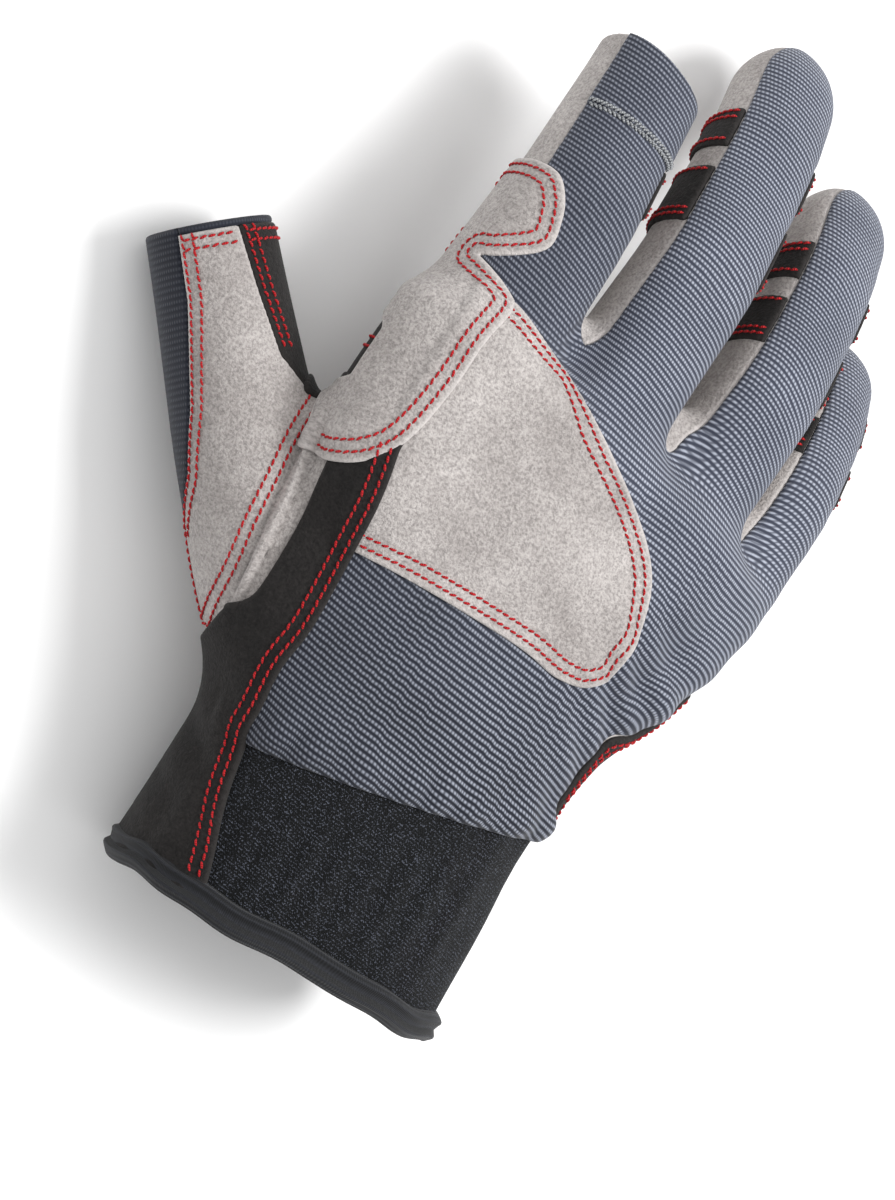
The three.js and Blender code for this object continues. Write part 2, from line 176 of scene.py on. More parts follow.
def smooth_min(a, b, k):
    h = np.clip(0.5 + 0.5 * (b - a) / k, 0, 1)
    return b + (a - b) * h - k * h * (1 - h)


def smooth_step(x, low, high):
    t = np.clip((x - low) / (high - low), 0, 1)
    return t * t * (3 - 2 * t)


def window(x, rises, full, falls, gone):
    """One between two places along x, and zero well outside them."""
    return smooth_step(x, rises, full) * smooth_step(-x, -gone, -falls)


def bell(x, middle, width):
    return np.exp(-(((x - middle) / width) ** 2))


def within(*fields):
    """Positive where every field is."""
    return reduce(np.minimum, fields)


def section_distance(s, w, a, b, power, past=0.0, cap=10.0):
    """Roughly the distance to a superelliptic tube; past is how far a point is beyond a rounded end."""
    us, uw = np.abs(s) / a + 1e-6, np.abs(w) / b + 1e-6
    flat = (us**power + uw**power) ** (1 / power)
    grad_s = us ** (power - 1) * flat ** (1 - power) / a
    grad_w = uw ** (power - 1) * flat ** (1 - power) / b
    q = np.maximum(past, 0) / cap
    full = np.sqrt(flat**2 + q**2)
    slope = np.sqrt((flat / full) ** 2 * (grad_s**2 + grad_w**2) + (q / full / cap) ** 2)
    return (full - 1) / slope


def ring_values(table, at, soften=5):
    """The columns of a table of sections at a distance along it, with its corners softened."""
    columns = []
    for column in table.T[1:]:
        samples = [np.interp(at + shift, table[:, 0], column) for shift in (-soften, 0, soften)]
        columns.append(sum(samples) / 3)
    return columns


def hand_local(points):
    x0, z0, a, b = ring_values(HAND_RINGS, points[:, 1])
    return points[:, 0] - x0, points[:, 2] - z0, a, b


def hand_distance(points):
    s, w, a, b = hand_local(points)
    past = points[:, 1] - (112 - 0.15 * points[:, 0])  # the knuckles' line, lower by the little finger
    return section_distance(s, w, a, b, HAND_POWER, past, 9.0)


class Finger:
    """A tube along a bent line in the finger's own plane."""

    def __init__(
        self, name, slopes, lengths, widths, depths, bands, open, shift=0.0, roll=0.0, tail=0.0, slant=0.2
    ):
        self.lengths, self.bands, self.open, self.slant = lengths, bands, open, slant
        self.shift, self.tail, self.roll = shift, tail, math.tan(math.radians(roll))
        pip = JOINT[f"{name}_pip"]
        self.across = unit(AXES @ -np.array(pip["axis"]))
        self.up = unit(np.cross(self.across, np.cross([0, 0, 1], self.across)))
        self.forward = np.cross(self.up, self.across)
        angles = [math.radians(a) for a in slopes]
        self.dirs = np.array([(math.cos(a), -math.sin(a)) for a in angles])
        flat = lengths[0] * self.dirs[0]
        self.base = to_hand(pip["pos_m"]) - flat[0] * self.forward - flat[1] * self.up
        self.length = sum(lengths)
        stations = np.concatenate([[0], np.cumsum(lengths)])
        root_width = (0.5 if tail else 1) * widths[0]
        self.rings = np.array(
            [(-FINGER_ENDS, root_width, depths[0])]
            + list(zip(stations, widths, depths))
            + [(stations[-1] + FINGER_ENDS, widths[-1], depths[-1])]
        )
        self.line = self.smooth_line()

    def joint(self, k):
        """The place of joint k in the finger's plane, from its knuckle."""
        return sum((l * d for l, d in zip(self.lengths[:k], self.dirs[:k])), np.zeros(2))

    def point(self, k):
        plane = self.joint(k)
        return self.base + plane[0] * self.forward + plane[1] * self.up

    def direction(self, k):
        return self.dirs[k][0] * self.forward + self.dirs[k][1] * self.up

    def bisector(self, k):
        """The way the finger runs at joint k."""
        return unit(self.direction(k - 1) + self.direction(k))

    def smooth_line(self, soft=7, before=16, after=24):
        points = [-before * self.dirs[0]]
        for k in range(1, len(self.lengths)):
            corner = self.joint(k)
            a, c = corner - soft * self.dirs[k - 1], corner + soft * self.dirs[k]
            for t in (0, 0.25, 0.5, 0.75, 1):
                points.append((1 - t) ** 2 * a + 2 * t * (1 - t) * corner + t**2 * c)
        points.append(self.joint(len(self.lengths)) + after * self.dirs[-1])
        self.before = before
        return np.array(points)

    def local(self, points):
        """Across, height above the centre line, and distance along it."""
        rel = points - self.base
        a, b = rel @ self.forward, rel @ self.up
        ahead = smooth_step(a, -20, 30)
        s = rel @ self.across - self.shift * ahead - self.tail * (1 - smooth_step(a, -20, 16))
        best = np.full(len(points), np.inf)
        height, along = np.zeros(len(points)), np.zeros(len(points))
        start = -self.before
        for i in range(len(self.line) - 1):
            (a0, b0), step = self.line[i], self.line[i + 1] - self.line[i]
            size = np.linalg.norm(step)
            ca, cb = step / size
            t = np.clip((a - a0) * ca + (b - b0) * cb, -60 if i == 0 else 0, size)
            da, db = a - a0 - t * ca, b - b0 - t * cb
            gap = np.hypot(da, db)
            side = np.sign((b - b0) * ca - (a - a0) * cb)
            nearer = gap < best
            best = np.where(nearer, gap, best)
            height = np.where(nearer, gap * side, height)
            along = np.where(nearer, start + t, along)
            start += size
        return s, height, along

    def distance(self, points):
        s, w, t = self.local(points)
        a, b = ring_values(self.rings, t)
        tip = 1.25 * self.rings[-1][1]
        past = np.zeros(len(t)) if self.open else t - (self.length - tip)
        return section_distance(s, w, a, b, FINGER_POWER, np.maximum(past, -self.before - t), tip)

    def depth(self, t):
        return ring_values(self.rings, t)[1]


FINGER = {name: Finger(name, **facts) for name, facts in FINGERS.items()}


class Thumb:
    def __init__(self):
        self.base = to_hand(JOINT["thumb_mcp"]["pos_m"])
        self.tip_joint = to_hand(JOINT["thumb_ip"]["pos_m"])
        self.along = unit(self.tip_joint - self.base)
        nail = np.array(THUMB_NAIL)
        self.nail = unit(nail - (nail @ self.along) * self.along)
        self.across = np.cross(self.along, self.nail)
        self.facing = unit(VIEW_BACK - (VIEW_BACK @ self.along) * self.along)
        self.left = np.cross(self.facing, self.along)
        if self.left @ VIEW_ACROSS > 0:
            self.left = -self.left
        self.length = sum(THUMB_LENGTHS)

    def local(self, points):
        """Distance along the thumb, to the camera's left of it, and towards the camera."""
        rel = points - self.base
        return rel @ self.along, rel @ self.left, rel @ self.facing

    def distance(self, points):
        rel = points - self.base
        t = rel @ self.along
        a, b, sink = ring_values(THUMB_RINGS, t)
        back = THUMB_RINGS[0][0] + 6
        return section_distance(rel @ self.across, rel @ self.nail - sink, a, b, 2.1, back - t, 18.0)

    def turn(self, points):
        """Distance along, and the angle round the thumb from the camera's side towards its outside."""
        t, left, facing = self.local(points)
        return t, np.degrees(np.arctan2(left, facing))


THUMB = Thumb()


def capsule_distance(points, a, b, radius):
    a, b = np.asarray(a, float), np.asarray(b, float)
    t = np.clip((points - a) @ (b - a) / ((b - a) @ (b - a)), 0, 1)
    return np.linalg.norm(points - a - t[:, None] * (b - a), axis=1) - radius


def parts_distance(points):
    """The distance to each part of the hand, before they are joined."""
    parts = {"hand": hand_distance(points), "thumb": THUMB.distance(points)}
    parts.update({name: finger.distance(points) for name, finger in FINGER.items()})
    return parts


def skin_distance(points, parts=None):
    parts = parts or parts_distance(points)
    names = list(FINGER)
    fingers = parts[names[0]]
    for name in names[1:]:
        fingers = smooth_min(fingers, parts[name], 2.5)
    for web in WEBS:
        tube = capsule_distance(points, np.array(web) - (0, WEB_BACK, 0), web, WEB_RADIUS)
        fingers = smooth_min(fingers, tube, 4)
    whole = smooth_min(fingers, parts["hand"], 7)
    web = capsule_distance(points, *THUMB_WEB, THUMB_WEB_RADIUS)
    return smooth_min(whole, smooth_min(parts["thumb"], web, 7), 8)


def gradient(points, step=0.3):
    shifts = np.eye(3) * step
    rises = [skin_distance(points + s) - skin_distance(points - s) for s in shifts]
    return np.stack(rises, axis=1) / (2 * step)


# ---- Meshing: surface nets ----------------------------------------------------------------------


def field_on_grid(low, high, cell):
    """The field on a grid: exact near the skin, and only its sign further away."""
    counts = np.ceil((high - low) / cell).astype(int) + 1
    coarse = 8
    ticks = [low[i] + cell * np.arange(0, counts[i] + coarse, coarse) for i in range(3)]
    mesh = np.stack(np.meshgrid(*ticks, indexing="ij"), axis=-1)
    rough = skin_distance(mesh.reshape(-1, 3)).reshape(mesh.shape[:3])
    fine = np.repeat(np.repeat(np.repeat(rough, coarse, 0), coarse, 1), coarse, 2)
    fine = fine[: counts[0], : counts[1], : counts[2]].astype(np.float32)
    near = np.argwhere(np.abs(fine) < coarse * cell * 2.2)
    for block in np.array_split(near, max(1, len(near) // 400000)):
        places = low + cell * block
        fine[tuple(block.T)] = skin_distance(places)
    return fine


def surface_net(field, low, cell):
    """One vertex in each cell that the surface crosses, and a quad for each crossed edge."""
    inside = field < 0
    crossing = np.zeros(tuple(n - 1 for n in field.shape), bool)
    corners = [(i, j, k) for i in (0, 1) for j in (0, 1) for k in (0, 1)]
    at_corner = [
        inside[tuple(slice(shift, size - 1 + shift) for shift, size in zip(corner, field.shape))]
        for corner in corners
    ]
    for others in at_corner[1:]:
        crossing |= others != at_corner[0]
    cells = np.argwhere(crossing)
    index = np.full(crossing.shape, -1, np.int64)
    index[tuple(cells.T)] = np.arange(len(cells))
    total, weight = np.zeros((len(cells), 3)), np.zeros(len(cells))
    for a in corners:
        for b in corners:
            if sum(b) - sum(a) != 1 or any(y < x for x, y in zip(a, b)):
                continue
            fa, fb = (field[tuple((cells + c).T)] for c in (a, b))
            crossed = (fa < 0) != (fb < 0)
            t = np.where(crossed, fa / np.where(crossed, fa - fb, 1), 0)
            place = np.array(a) + t[:, None] * (np.array(b) - np.array(a))
            total += place * crossed[:, None]
            weight += crossed
    vertices = low + cell * (cells + total / weight[:, None])
    quads = []
    last_cell = np.array(index.shape) - 1
    for axis in range(3):
        u, v = (axis + 1) % 3, (axis + 2) % 3
        ahead, behind = [slice(None)] * 3, [slice(None)] * 3
        ahead[axis], behind[axis] = slice(1, None), slice(None, -1)
        flips = np.argwhere(inside[tuple(ahead)] != inside[tuple(behind)])
        flips = flips[(flips[:, u] > 0) & (flips[:, v] > 0)]
        step_u, step_v = np.eye(3, dtype=int)[u], np.eye(3, dtype=int)[v]
        ring = [flips - step_u - step_v, flips - step_v, flips, flips - step_u]
        quad = np.stack([index[tuple(np.minimum(r, last_cell).T)] for r in ring], axis=1)
        outward = inside[tuple(flips.T)]
        quad[~outward] = quad[~outward][:, ::-1]
        quads.append(quad[(quad >= 0).all(axis=1)])
    quads = np.concatenate(quads)
    return vertices, np.concatenate([quads[:, [0, 1, 2]], quads[:, [0, 2, 3]]])


def vertex_normals(vertices, faces):
    a, b, c = (vertices[faces[:, i]] for i in range(3))
    cross = np.cross(b - a, c - a)
    normals = np.zeros_like(vertices)
    for i in range(3):
        np.add.at(normals, faces[:, i], cross)
    return normals / np.maximum(np.linalg.norm(normals, axis=1, keepdims=True), 1e-12)


def smoothed(vertices, faces, rounds=2):
    """Evens the mesh out: each vertex moves half way to the middle of its neighbours."""
    edges = np.concatenate([faces[:, [0, 1]], faces[:, [1, 2]], faces[:, [2, 0]]])
    edges = np.concatenate([edges, edges[:, ::-1]])
    for _ in range(rounds):
        total, count = np.zeros_like(vertices), np.zeros(len(vertices))
        np.add.at(total, edges[:, 0], vertices[edges[:, 1]])
        np.add.at(count, edges[:, 0], 1)
        vertices = 0.5 * vertices + 0.5 * total / np.maximum(count, 1)[:, None]
    return vertices


def skin_mesh():
    """The skin as a mesh: netted, then evened out and put back on the surface twice."""
    low, high = np.array([-92.0, -6, -72]), np.array([82.0, 214, 30])
    vertices, faces = surface_net(field_on_grid(low, high, CELL), low, CELL)
    for _ in range(2):
        vertices = smoothed(vertices, faces)
        slope = gradient(vertices)
        distance = skin_distance(vertices)
        vertices = vertices - slope * (distance / (slope**2).sum(axis=1))[:, None]
    return vertices, faces


# ---- Surfaces that can be cut -------------------------------------------------------------------


def turned_to(faces, first):
    """The corners of each face, in their order, from a chosen one."""
    return faces[np.arange(len(faces))[:, None], (first[:, None] + [0, 1, 2]) % 3]


def between(values, a, b, t):
    """Values part of the way from point a to point b."""
    return values[a] + (values[b] - values[a]) * (t[:, None] if values.ndim > 1 else t)


class Surface:
    """A triangle mesh with values at its points."""

    def __init__(self, points, faces, data):
        self.points, self.faces, self.data = points, faces, data

    def clipped(self, field):
        """The part where the field is positive."""
        field = np.where(np.abs(field) < 1e-5, 1e-5, field)
        inside = field > 0
        count = inside[self.faces].sum(axis=1)
        one, two = self.faces[count == 1], self.faces[count == 2]
        lone_in = turned_to(one, np.argmax(inside[one], axis=1))
        lone_out = turned_to(two, np.argmin(inside[two], axis=1))
        edges = np.concatenate([lone[:, pair] for lone in (lone_in, lone_out) for pair in ([0, 1], [0, 2])])
        keys, where = np.unique(np.sort(edges, axis=1), axis=0, return_inverse=True)
        where = where.reshape(-1)
        a, b = keys[:, 0], keys[:, 1]
        t = field[a] / (field[a] - field[b]) if len(keys) else np.zeros(0)
        new = len(self.points) + where
        n1, n2 = len(lone_in), len(lone_out)
        cut_in, cut_out = new[: 2 * n1].reshape(2, n1), new[2 * n1 :].reshape(2, n2)
        faces = np.concatenate(
            [
                self.faces[count == 3],
                np.stack([lone_in[:, 0], cut_in[0], cut_in[1]], axis=1),
                np.stack([cut_out[0], lone_out[:, 1], lone_out[:, 2]], axis=1),
                np.stack([cut_out[0], lone_out[:, 2], cut_out[1]], axis=1),
            ]
        )
        used, renumbered = np.unique(faces, return_inverse=True)
        faces = renumbered.reshape(-1, 3)
        good = (faces[:, 0] != faces[:, 1]) & (faces[:, 1] != faces[:, 2]) & (faces[:, 0] != faces[:, 2])
        kept = {
            name: np.concatenate([values, between(values, a, b, t)])[used]
            for name, values in {"points": self.points, **self.data}.items()
        }
        return Surface(kept.pop("points"), faces[good], kept)

    def borders(self):
        """Edges with one face, in the direction that their face goes round."""
        edges = np.concatenate([self.faces[:, [0, 1]], self.faces[:, [1, 2]], self.faces[:, [2, 0]]])
        keys = np.sort(edges, axis=1) @ np.array([len(self.points), 1])
        _, first, count = np.unique(keys, return_index=True, return_counts=True)
        return edges[first[count == 1]]


def distance_to_border(surface, reach=7.0, chosen=None):
    """How far each point is from the surface's border, or from a chosen part of it, up to a reach."""
    edges = surface.borders()
    if chosen is not None:
        edges = edges[chosen(surface.points[edges].mean(axis=1))]
    distance = np.full(len(surface.points), reach)
    if not len(edges):
        return distance
    a, b = surface.points[edges[:, 0]], surface.points[edges[:, 1]]
    samples = np.concatenate([a + (b - a) * t for t in (0, 0.25, 0.5, 0.75)])
    tree = KDTree(len(samples))
    for i, place in enumerate(samples):
        tree.insert(place, i)
    tree.balance()
    low, high = samples.min(axis=0) - reach, samples.max(axis=0) + reach
    near = np.flatnonzero(((surface.points > low) & (surface.points < high)).all(axis=1))
    for i in near:
        distance[i] = min(reach, tree.find(surface.points[i])[2])
    return distance


def shell(surface, lift, thickness):
    """A closed cloth between the surface raised by lift and the same surface less the thickness."""
    normals = surface.data["normal"]
    normals = normals / np.maximum(np.linalg.norm(normals, axis=1, keepdims=True), 1e-9)
    top = surface.points + normals * np.asarray(lift).reshape(-1, 1)
    bottom = top - normals * thickness
    n = len(top)
    edges = surface.borders()
    rim = np.concatenate(
        [
            np.stack([edges[:, 1], edges[:, 0], edges[:, 0] + n], axis=1),
            np.stack([edges[:, 1], edges[:, 0] + n, edges[:, 1] + n], axis=1),
        ]
    )
    faces = np.concatenate([surface.faces, surface.faces[:, ::-1] + n, rim])
    points = np.concatenate([top, bottom])
    data = {name: np.concatenate([values, values]) for name, values in surface.data.items()}
    data["shade"] = vertex_normals(points, faces)
    return Surface(points, faces, data)


# ---- The skin, its coordinates and its folds ----------------------------------------------------

PART_NAMES = ["hand", *FINGER, "thumb"]
THUMB_LEAVES = unit((-0.85, 0.25, -0.45))  # the way the thumb's cloth leaves the hand


def ratio_field(points, weights, local):
    """Height above the middle plane of each part, as a share of its half depth, from -1 to 1."""
    _, z, _, b = hand_local(points)
    total = weights["hand"] * z / b
    for name, finger in FINGER.items():
        _, w, t = local[name]
        total = total + weights[name] * w / finger.depth(t)
    return total - weights["thumb"]


def seam_field(points, weights, local):
    """Millimetres above the seam between the ribbed back and the suede front."""
    x, y, z = points.T
    seam = 7 - np.where(x > 0, 0.08, -0.11) * x
    seam = seam + ULNAR_RISE * smooth_step(x, 18, 34) * window(y, 42, 54, 84, 102)
    total = weights["hand"] * (z - seam)
    for name, finger in FINGER.items():
        s, w, t = local[name]
        rolled = w + finger.roll * np.minimum(s, 0) * smooth_step(t, 0, 30)
        for low, high in finger.bands:
            beside = window(t, low - 2.5, low + 1, high - 1, high + 2.5)
            rolled = rolled - 2.4 * smooth_step(s, 3, 8) * beside
        total = total + weights[name] * (rolled - SIDE_SEAM * finger.depth(t))
    thumb_t, _ = THUMB.turn(points)
    root = smooth_step(-thumb_t, 16, 32)  # the thumb's cone runs into the back of the hand
    return total + weights["thumb"] * (root * (z - seam) - 10 * (1 - root))


def rib_count(along):
    """How many ribs lie between the mouth and a place along the cloth: the wrist stretches them apart."""
    places = np.arange(-20, 261, 2.0)
    pitch = np.interp(places, [88, 120, 150, 190], [1.19, 1.14, 1.0, 1.02])
    return np.interp(along, places, np.cumsum(2.0 / pitch))


def cloth_coordinates(points, parts, local):
    """Millimetres across the cloth, and ribs along it, which run on from the hand to each finger."""
    thumb_t, turn = THUMB.turn(points)
    root = smooth_step(-thumb_t, 6, 22)  # the thumb's cone takes its cloth from the hand
    share = {name: np.exp(-(value - parts["hand"]) / 6) for name, value in parts.items()}
    share["thumb"] = share["thumb"] * (1 - root)
    total = sum(share.values())
    s, z, a, b = hand_local(points)
    across = share["hand"] * a * np.arctan2(s / a, z / b)
    along = share["hand"] * points[:, 1] + RIB_SLANT * across
    for name, finger in FINGER.items():
        s, w, t = local[name]
        a, b = ring_values(finger.rings, t)
        arc = a * np.arctan2(s / a, w / b)
        across = across + share[name] * (finger.base[0] + arc)
        along = along + share[name] * (finger.base[1] + t + RIB_SLANT * finger.base[0] + finger.slant * arc)
    across = (across + share["thumb"] * 13 * np.radians(turn)) / total
    along = (along + share["thumb"] * (60 + thumb_t)) / total
    return np.stack([across, rib_count(along), np.zeros(len(points))], axis=1)


def skin_surface():
    points, faces = skin_mesh()
    parts = parts_distance(points)
    stack = np.stack([parts[name] for name in PART_NAMES])
    share = np.exp(-(stack - stack.min(axis=0)) / 2.5)
    share /= share.sum(axis=0)
    weights = dict(zip(PART_NAMES, share))
    local = {name: finger.local(points) for name, finger in FINGER.items()}
    data = {
        "normal": vertex_normals(points, faces),
        "rest": points.copy(),
        "cloth": smoothed(cloth_coordinates(points, parts, local), faces, 12),
        "seam": seam_field(points, weights, local),
        "ratio": ratio_field(points, weights, local),
    }
    data["thumb_t"], data["thumb_x"], data["thumb_z"] = THUMB.local(points)
    for i, name in enumerate(PART_NAMES):
        others = np.delete(stack, i, axis=0).min(axis=0)
        data[f"near_{name}"] = np.clip(others - stack[i], -20, 20)
        if name in FINGER:
            data[f"t_{name}"], data[f"s_{name}"] = local[name][2], local[name][0]
    return Surface(points, faces, data)


def open_ends(skin):
    """Cuts the mouth and the open ends of the index finger and the thumb."""
    skin = skin.clipped(skin.points[:, 1])
    index = FINGER["index"].length - skin.data["t_index"] - 0.2 * skin.data["s_index"]
    skin = skin.clipped(np.where(skin.data["near_index"] > 0, index, 20))
    thumb = THUMB.length - skin.data["thumb_t"]
    return skin.clipped(np.where(skin.data["near_thumb"] > 0, thumb, 20))


class Fold:
    """Where one joint bends the cloth, from body a to body b, and the field of the skin that it takes."""

    def __init__(self, name, a, b, middle, ahead, reach, field):
        self.name, self.a, self.b, self.field = name, a, b, field
        self.start, self.end = middle - reach[0] * ahead, middle + reach[1] * ahead


def beyond(name, cut):
    """The cloth of one finger past a distance along it."""
    return lambda d: within(d[f"t_{name}"] - cut, d[f"near_{name}"] + 1e-3)


def make_folds():
    """From the ends of the hand to its middle, since each fold takes its cloth from what is left."""
    thumb_end = Fold(
        "thumb_end", "thumb_first", "thumb_end", THUMB.tip_joint, THUMB.along, (11, 9),
        lambda d: within(d["thumb_t"] - 15, d["near_thumb"] + 12),
    )
    leaving = THUMB.base - THUMB_LEAVES * (THUMB.base @ THUMB_LEAVES)
    thumb_root = Fold(
        "thumb_root", "hand", "thumb_first", leaving, THUMB_LEAVES, (-64, 79),
        lambda d: within(d["rest"] @ THUMB_LEAVES - 61, d["near_thumb"] + 1.5),
    )
    folds = [thumb_end, thumb_root]
    for name, finger in FINGER.items():
        first = finger.lengths[0]
        middle = "index_end" if name == "index" else f"{name}_middle"
        if name != "index":
            second = finger.lengths[1]
            reach = min(9, 0.42 * second)
            folds.append(
                Fold(
                    f"{name}_tip", middle, f"{name}_tip", finger.point(2), finger.bisector(2), (reach, reach),
                    beyond(name, first + 0.52 * second),
                )
            )
        folds.append(
            Fold(
                f"{name}_middle", "knuckles", middle, finger.point(1), finger.bisector(1), (11, 10),
                beyond(name, first - 12.5),
            )
        )
    knuckle = to_hand(JOINT["knuckle_fold"]["pos_m"])
    ahead = unit(np.cross(AXES @ np.array(JOINT["knuckle_fold"]["axis"]), [0, 0, 1]))
    folds.append(Fold("hand", "hand", "knuckles", knuckle, ahead, (12, 18), None))
    return folds


FOLDS = make_folds()


def split_at_folds(piece):
    """The parts of a piece that each fold bends, by the fold's name."""
    parts, rest = {}, piece
    for fold in FOLDS[:-1]:
        if not len(rest.faces):
            break
        field = fold.field(rest.data)
        if (field > 0).any():
            parts[fold.name] = rest.clipped(field)
            rest = rest.clipped(-field)
    parts["hand"] = rest
    return {name: part for name, part in parts.items() if len(part.faces) > 8}


# ---- Blender objects ----------------------------------------------------------------------------

FOLD = {fold.name: fold for fold in FOLDS}


def place_in_fold(piece, fold_name, points):
    """Attaches a piece to the body on the side of its fold where it lies wholly, or else leaves it
    unparented, its transform baked in.
    """
    fold = FOLD[fold_name]
    step = fold.end - fold.start
    share = (points - fold.start) @ step / (step @ step)
    if share.max() <= 0:
        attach(piece, fold.a)
    elif share.min() >= 1:
        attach(piece, fold.b)
    else:
        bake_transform(piece)


def make_object(name, surface, material):
    mesh = bpy.data.meshes.new(name)
    mesh.from_pydata(to_row(surface.points).tolist(), [], surface.faces.tolist())
    mesh.update()
    for key in ("cloth", "rest"):  # what the materials read
        layer = mesh.attributes.new(key, "FLOAT_VECTOR", "POINT")
        layer.data.foreach_set("vector", surface.data[key].astype(np.float32).ravel())
    if "edge" in surface.data:
        layer = mesh.attributes.new("edge", "FLOAT", "POINT")
        layer.data.foreach_set("value", surface.data["edge"].astype(np.float32))
    mesh.shade_smooth()
    if "shade" in surface.data:
        shade = surface.data["shade"] @ AXES
        shade /= np.maximum(np.linalg.norm(shade, axis=1, keepdims=True), 1e-9)
        mesh.normals_split_custom_set_from_vertices(shade.tolist())
    mesh.materials.append(material)
    piece = bpy.data.objects.new(name, mesh)
    bpy.context.scene.collection.objects.link(piece)
    return piece


def put(name, surface, material, replaces=None):
    """Makes one object for each fold that a piece crosses. replaces lists CAD nodes by fold."""
    for fold_name, part in split_at_folds(surface).items():
        full = name if fold_name == "hand" else f"{name}.{fold_name}"
        piece = make_object(full, part, material)
        place_in_fold(piece, fold_name, part.points)
        for node in (replaces or {}).get(fold_name, []):
            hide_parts(node)


# ---- Materials ----------------------------------------------------------------------------------


DOT_PITCH = 0.76  # between the light dots along a rib
PLY_PITCH = 0.42  # between the plies along a stitch
CORD_PITCH, PICK_PITCH = 1.15, 0.5  # across and along the binding


def linear(*srgb):
    return tuple((c / 255 / 12.92 if c <= 10 else ((c / 255 + 0.055) / 1.055) ** 2.4) for c in srgb) + (1,)


class Shade:
    """A material being built: each call adds a node and joins it to what feeds it."""

    def __init__(self, name):
        self.material = bpy.data.materials.new(name)
        self.material.use_nodes = True
        self.tree = self.material.node_tree
        self.surface = self.tree.nodes["Principled BSDF"]

    def join(self, socket, value):
        if isinstance(value, bpy.types.NodeSocket):
            self.tree.links.new(value, socket)
        else:
            socket.default_value = value

    def add(self, kind, out=0, settings=None, **inputs):
        node = self.tree.nodes.new("ShaderNode" + kind)
        for key, value in (settings or {}).items():
            setattr(node, key, value)
        for key, value in inputs.items():
            where = int(key[1:]) if key[0] == "i" and key[1:].isdigit() else key
            self.join(node.inputs[where], value)
        return node.outputs[out]

    def math(self, operation, a, b=0.0, c=0.0):
        return self.add("Math", settings={"operation": operation}, i0=a, i1=b, i2=c)

    def times(self, a, b):
        return self.math("MULTIPLY", a, b)

    def wave(self, cycles, kind="COSINE"):
        return self.math(kind, self.times(cycles, TURN))

    def split(self, vector):
        """The X, Y and Z of a vector."""
        node = self.tree.nodes.new("ShaderNodeSeparateXYZ")
        self.join(node.inputs[0], vector)
        return tuple(node.outputs)

    def attribute(self, name, out="Vector"):
        return self.add("Attribute", out=out, settings={"attribute_name": name})

    def noise(self, vector, scale, detail=2.0, rough=0.5):
        return self.add("TexNoise", Vector=vector, Scale=scale, Detail=detail, Roughness=rough)

    def ramp(self, value, low, high, to_low=0.0, to_high=1.0):
        return self.add(
            "MapRange", settings={"clamp": True}, i0=value, i1=low, i2=high, i3=to_low, i4=to_high
        )

    def mix(self, share, a, b):
        node = self.tree.nodes.new("ShaderNodeMix")
        node.data_type = "RGBA"
        for socket, value in ((node.inputs[0], share), (node.inputs[6], a), (node.inputs[7], b)):
            self.join(socket, value)
        return node.outputs[2]

    def finish(self, color, height, bump_mm, roughness, sheen=0.0):
        bump = self.add("Bump", Height=height, Distance=bump_mm * MM, Strength=1.0)
        self.join(self.surface.inputs["Base Color"], color)
        self.join(self.surface.inputs["Normal"], bump)
        self.join(self.surface.inputs["Roughness"], roughness)
        self.surface.inputs["Specular IOR Level"].default_value = 0.25
        self.surface.inputs["Sheen Weight"].default_value = sheen
        self.surface.inputs["Sheen Roughness"].default_value = 0.5
        return self.material


def ribbed_material(name, lit_share):
    """Ribs across the cloth, with light threads that show as rows of dots over the dark ground.

    The last argument is one for the cloth's full look, and near zero for a copy in painted shade, which shows
    nearly all its dark ground."""
    shade = Shade(name)
    u, v, _ = shade.split(shade.attribute("cloth"))
    rest = shade.attribute("rest")
    wander = shade.times(shade.noise(rest, 0.035, 1), 1.2)
    rows = shade.math("ADD", v, wander)
    rib = shade.wave(rows)
    step = shade.times(shade.math("ROUND", rows), 0.26)  # each row of dots starts a little further on
    dots = shade.wave(shade.math("ADD", shade.math("DIVIDE", u, DOT_PITCH), step))
    uneven = shade.noise(rest, 1.6, 2)
    crest = shade.ramp(rib, -0.5, 0.95)
    light = shade.times(crest, shade.ramp(dots, -1.0, 0.5, 0.28, 1.06))
    light = shade.times(light, shade.ramp(uneven, 0.25, 0.75, 0.85, 1.12))
    broad = shade.noise(rest, 0.06, 3)
    x, _, _ = shade.split(rest)
    closed = shade.ramp(v, 60, 115, 0.0, 1.0)  # the wrist and the index finger stretch the ribs open
    # Towards the strip the ground darkens: partly the ribs' dark open ground, partly painted shade.
    closed = shade.times(closed, shade.ramp(x, -32, -8, 0.45, 1.0))
    level = shade.math("MULTIPLY_ADD", broad, 0.25, shade.ramp(closed, 0, 1, 0.62, 0.82))
    # Painted shade: the threads dim towards the strip.
    painted_strip_shade = shade.math("MAXIMUM", closed, shade.ramp(x, -32, 6, 0.62, 1.0))
    light = shade.times(shade.times(light, level), painted_strip_shade)
    open_ground = shade.mix(broad, linear(12, 14, 22), linear(30, 34, 46))
    closed_ground = shade.mix(broad, linear(42, 46, 59), linear(60, 64, 78))
    ground = shade.mix(closed, open_ground, closed_ground)
    thread = shade.mix(broad, linear(146, 151, 164), linear(170, 175, 188))
    # A share below one paints shade: the colour turns towards the dark open ground.
    color = shade.mix(lit_share, open_ground, shade.mix(light, ground, thread))
    knots = shade.times(shade.times(crest, dots), 0.3)
    height = shade.math("ADD", shade.times(rib, 0.5), knots)
    return shade.finish(color, height, 0.14, 0.85, 0.12)


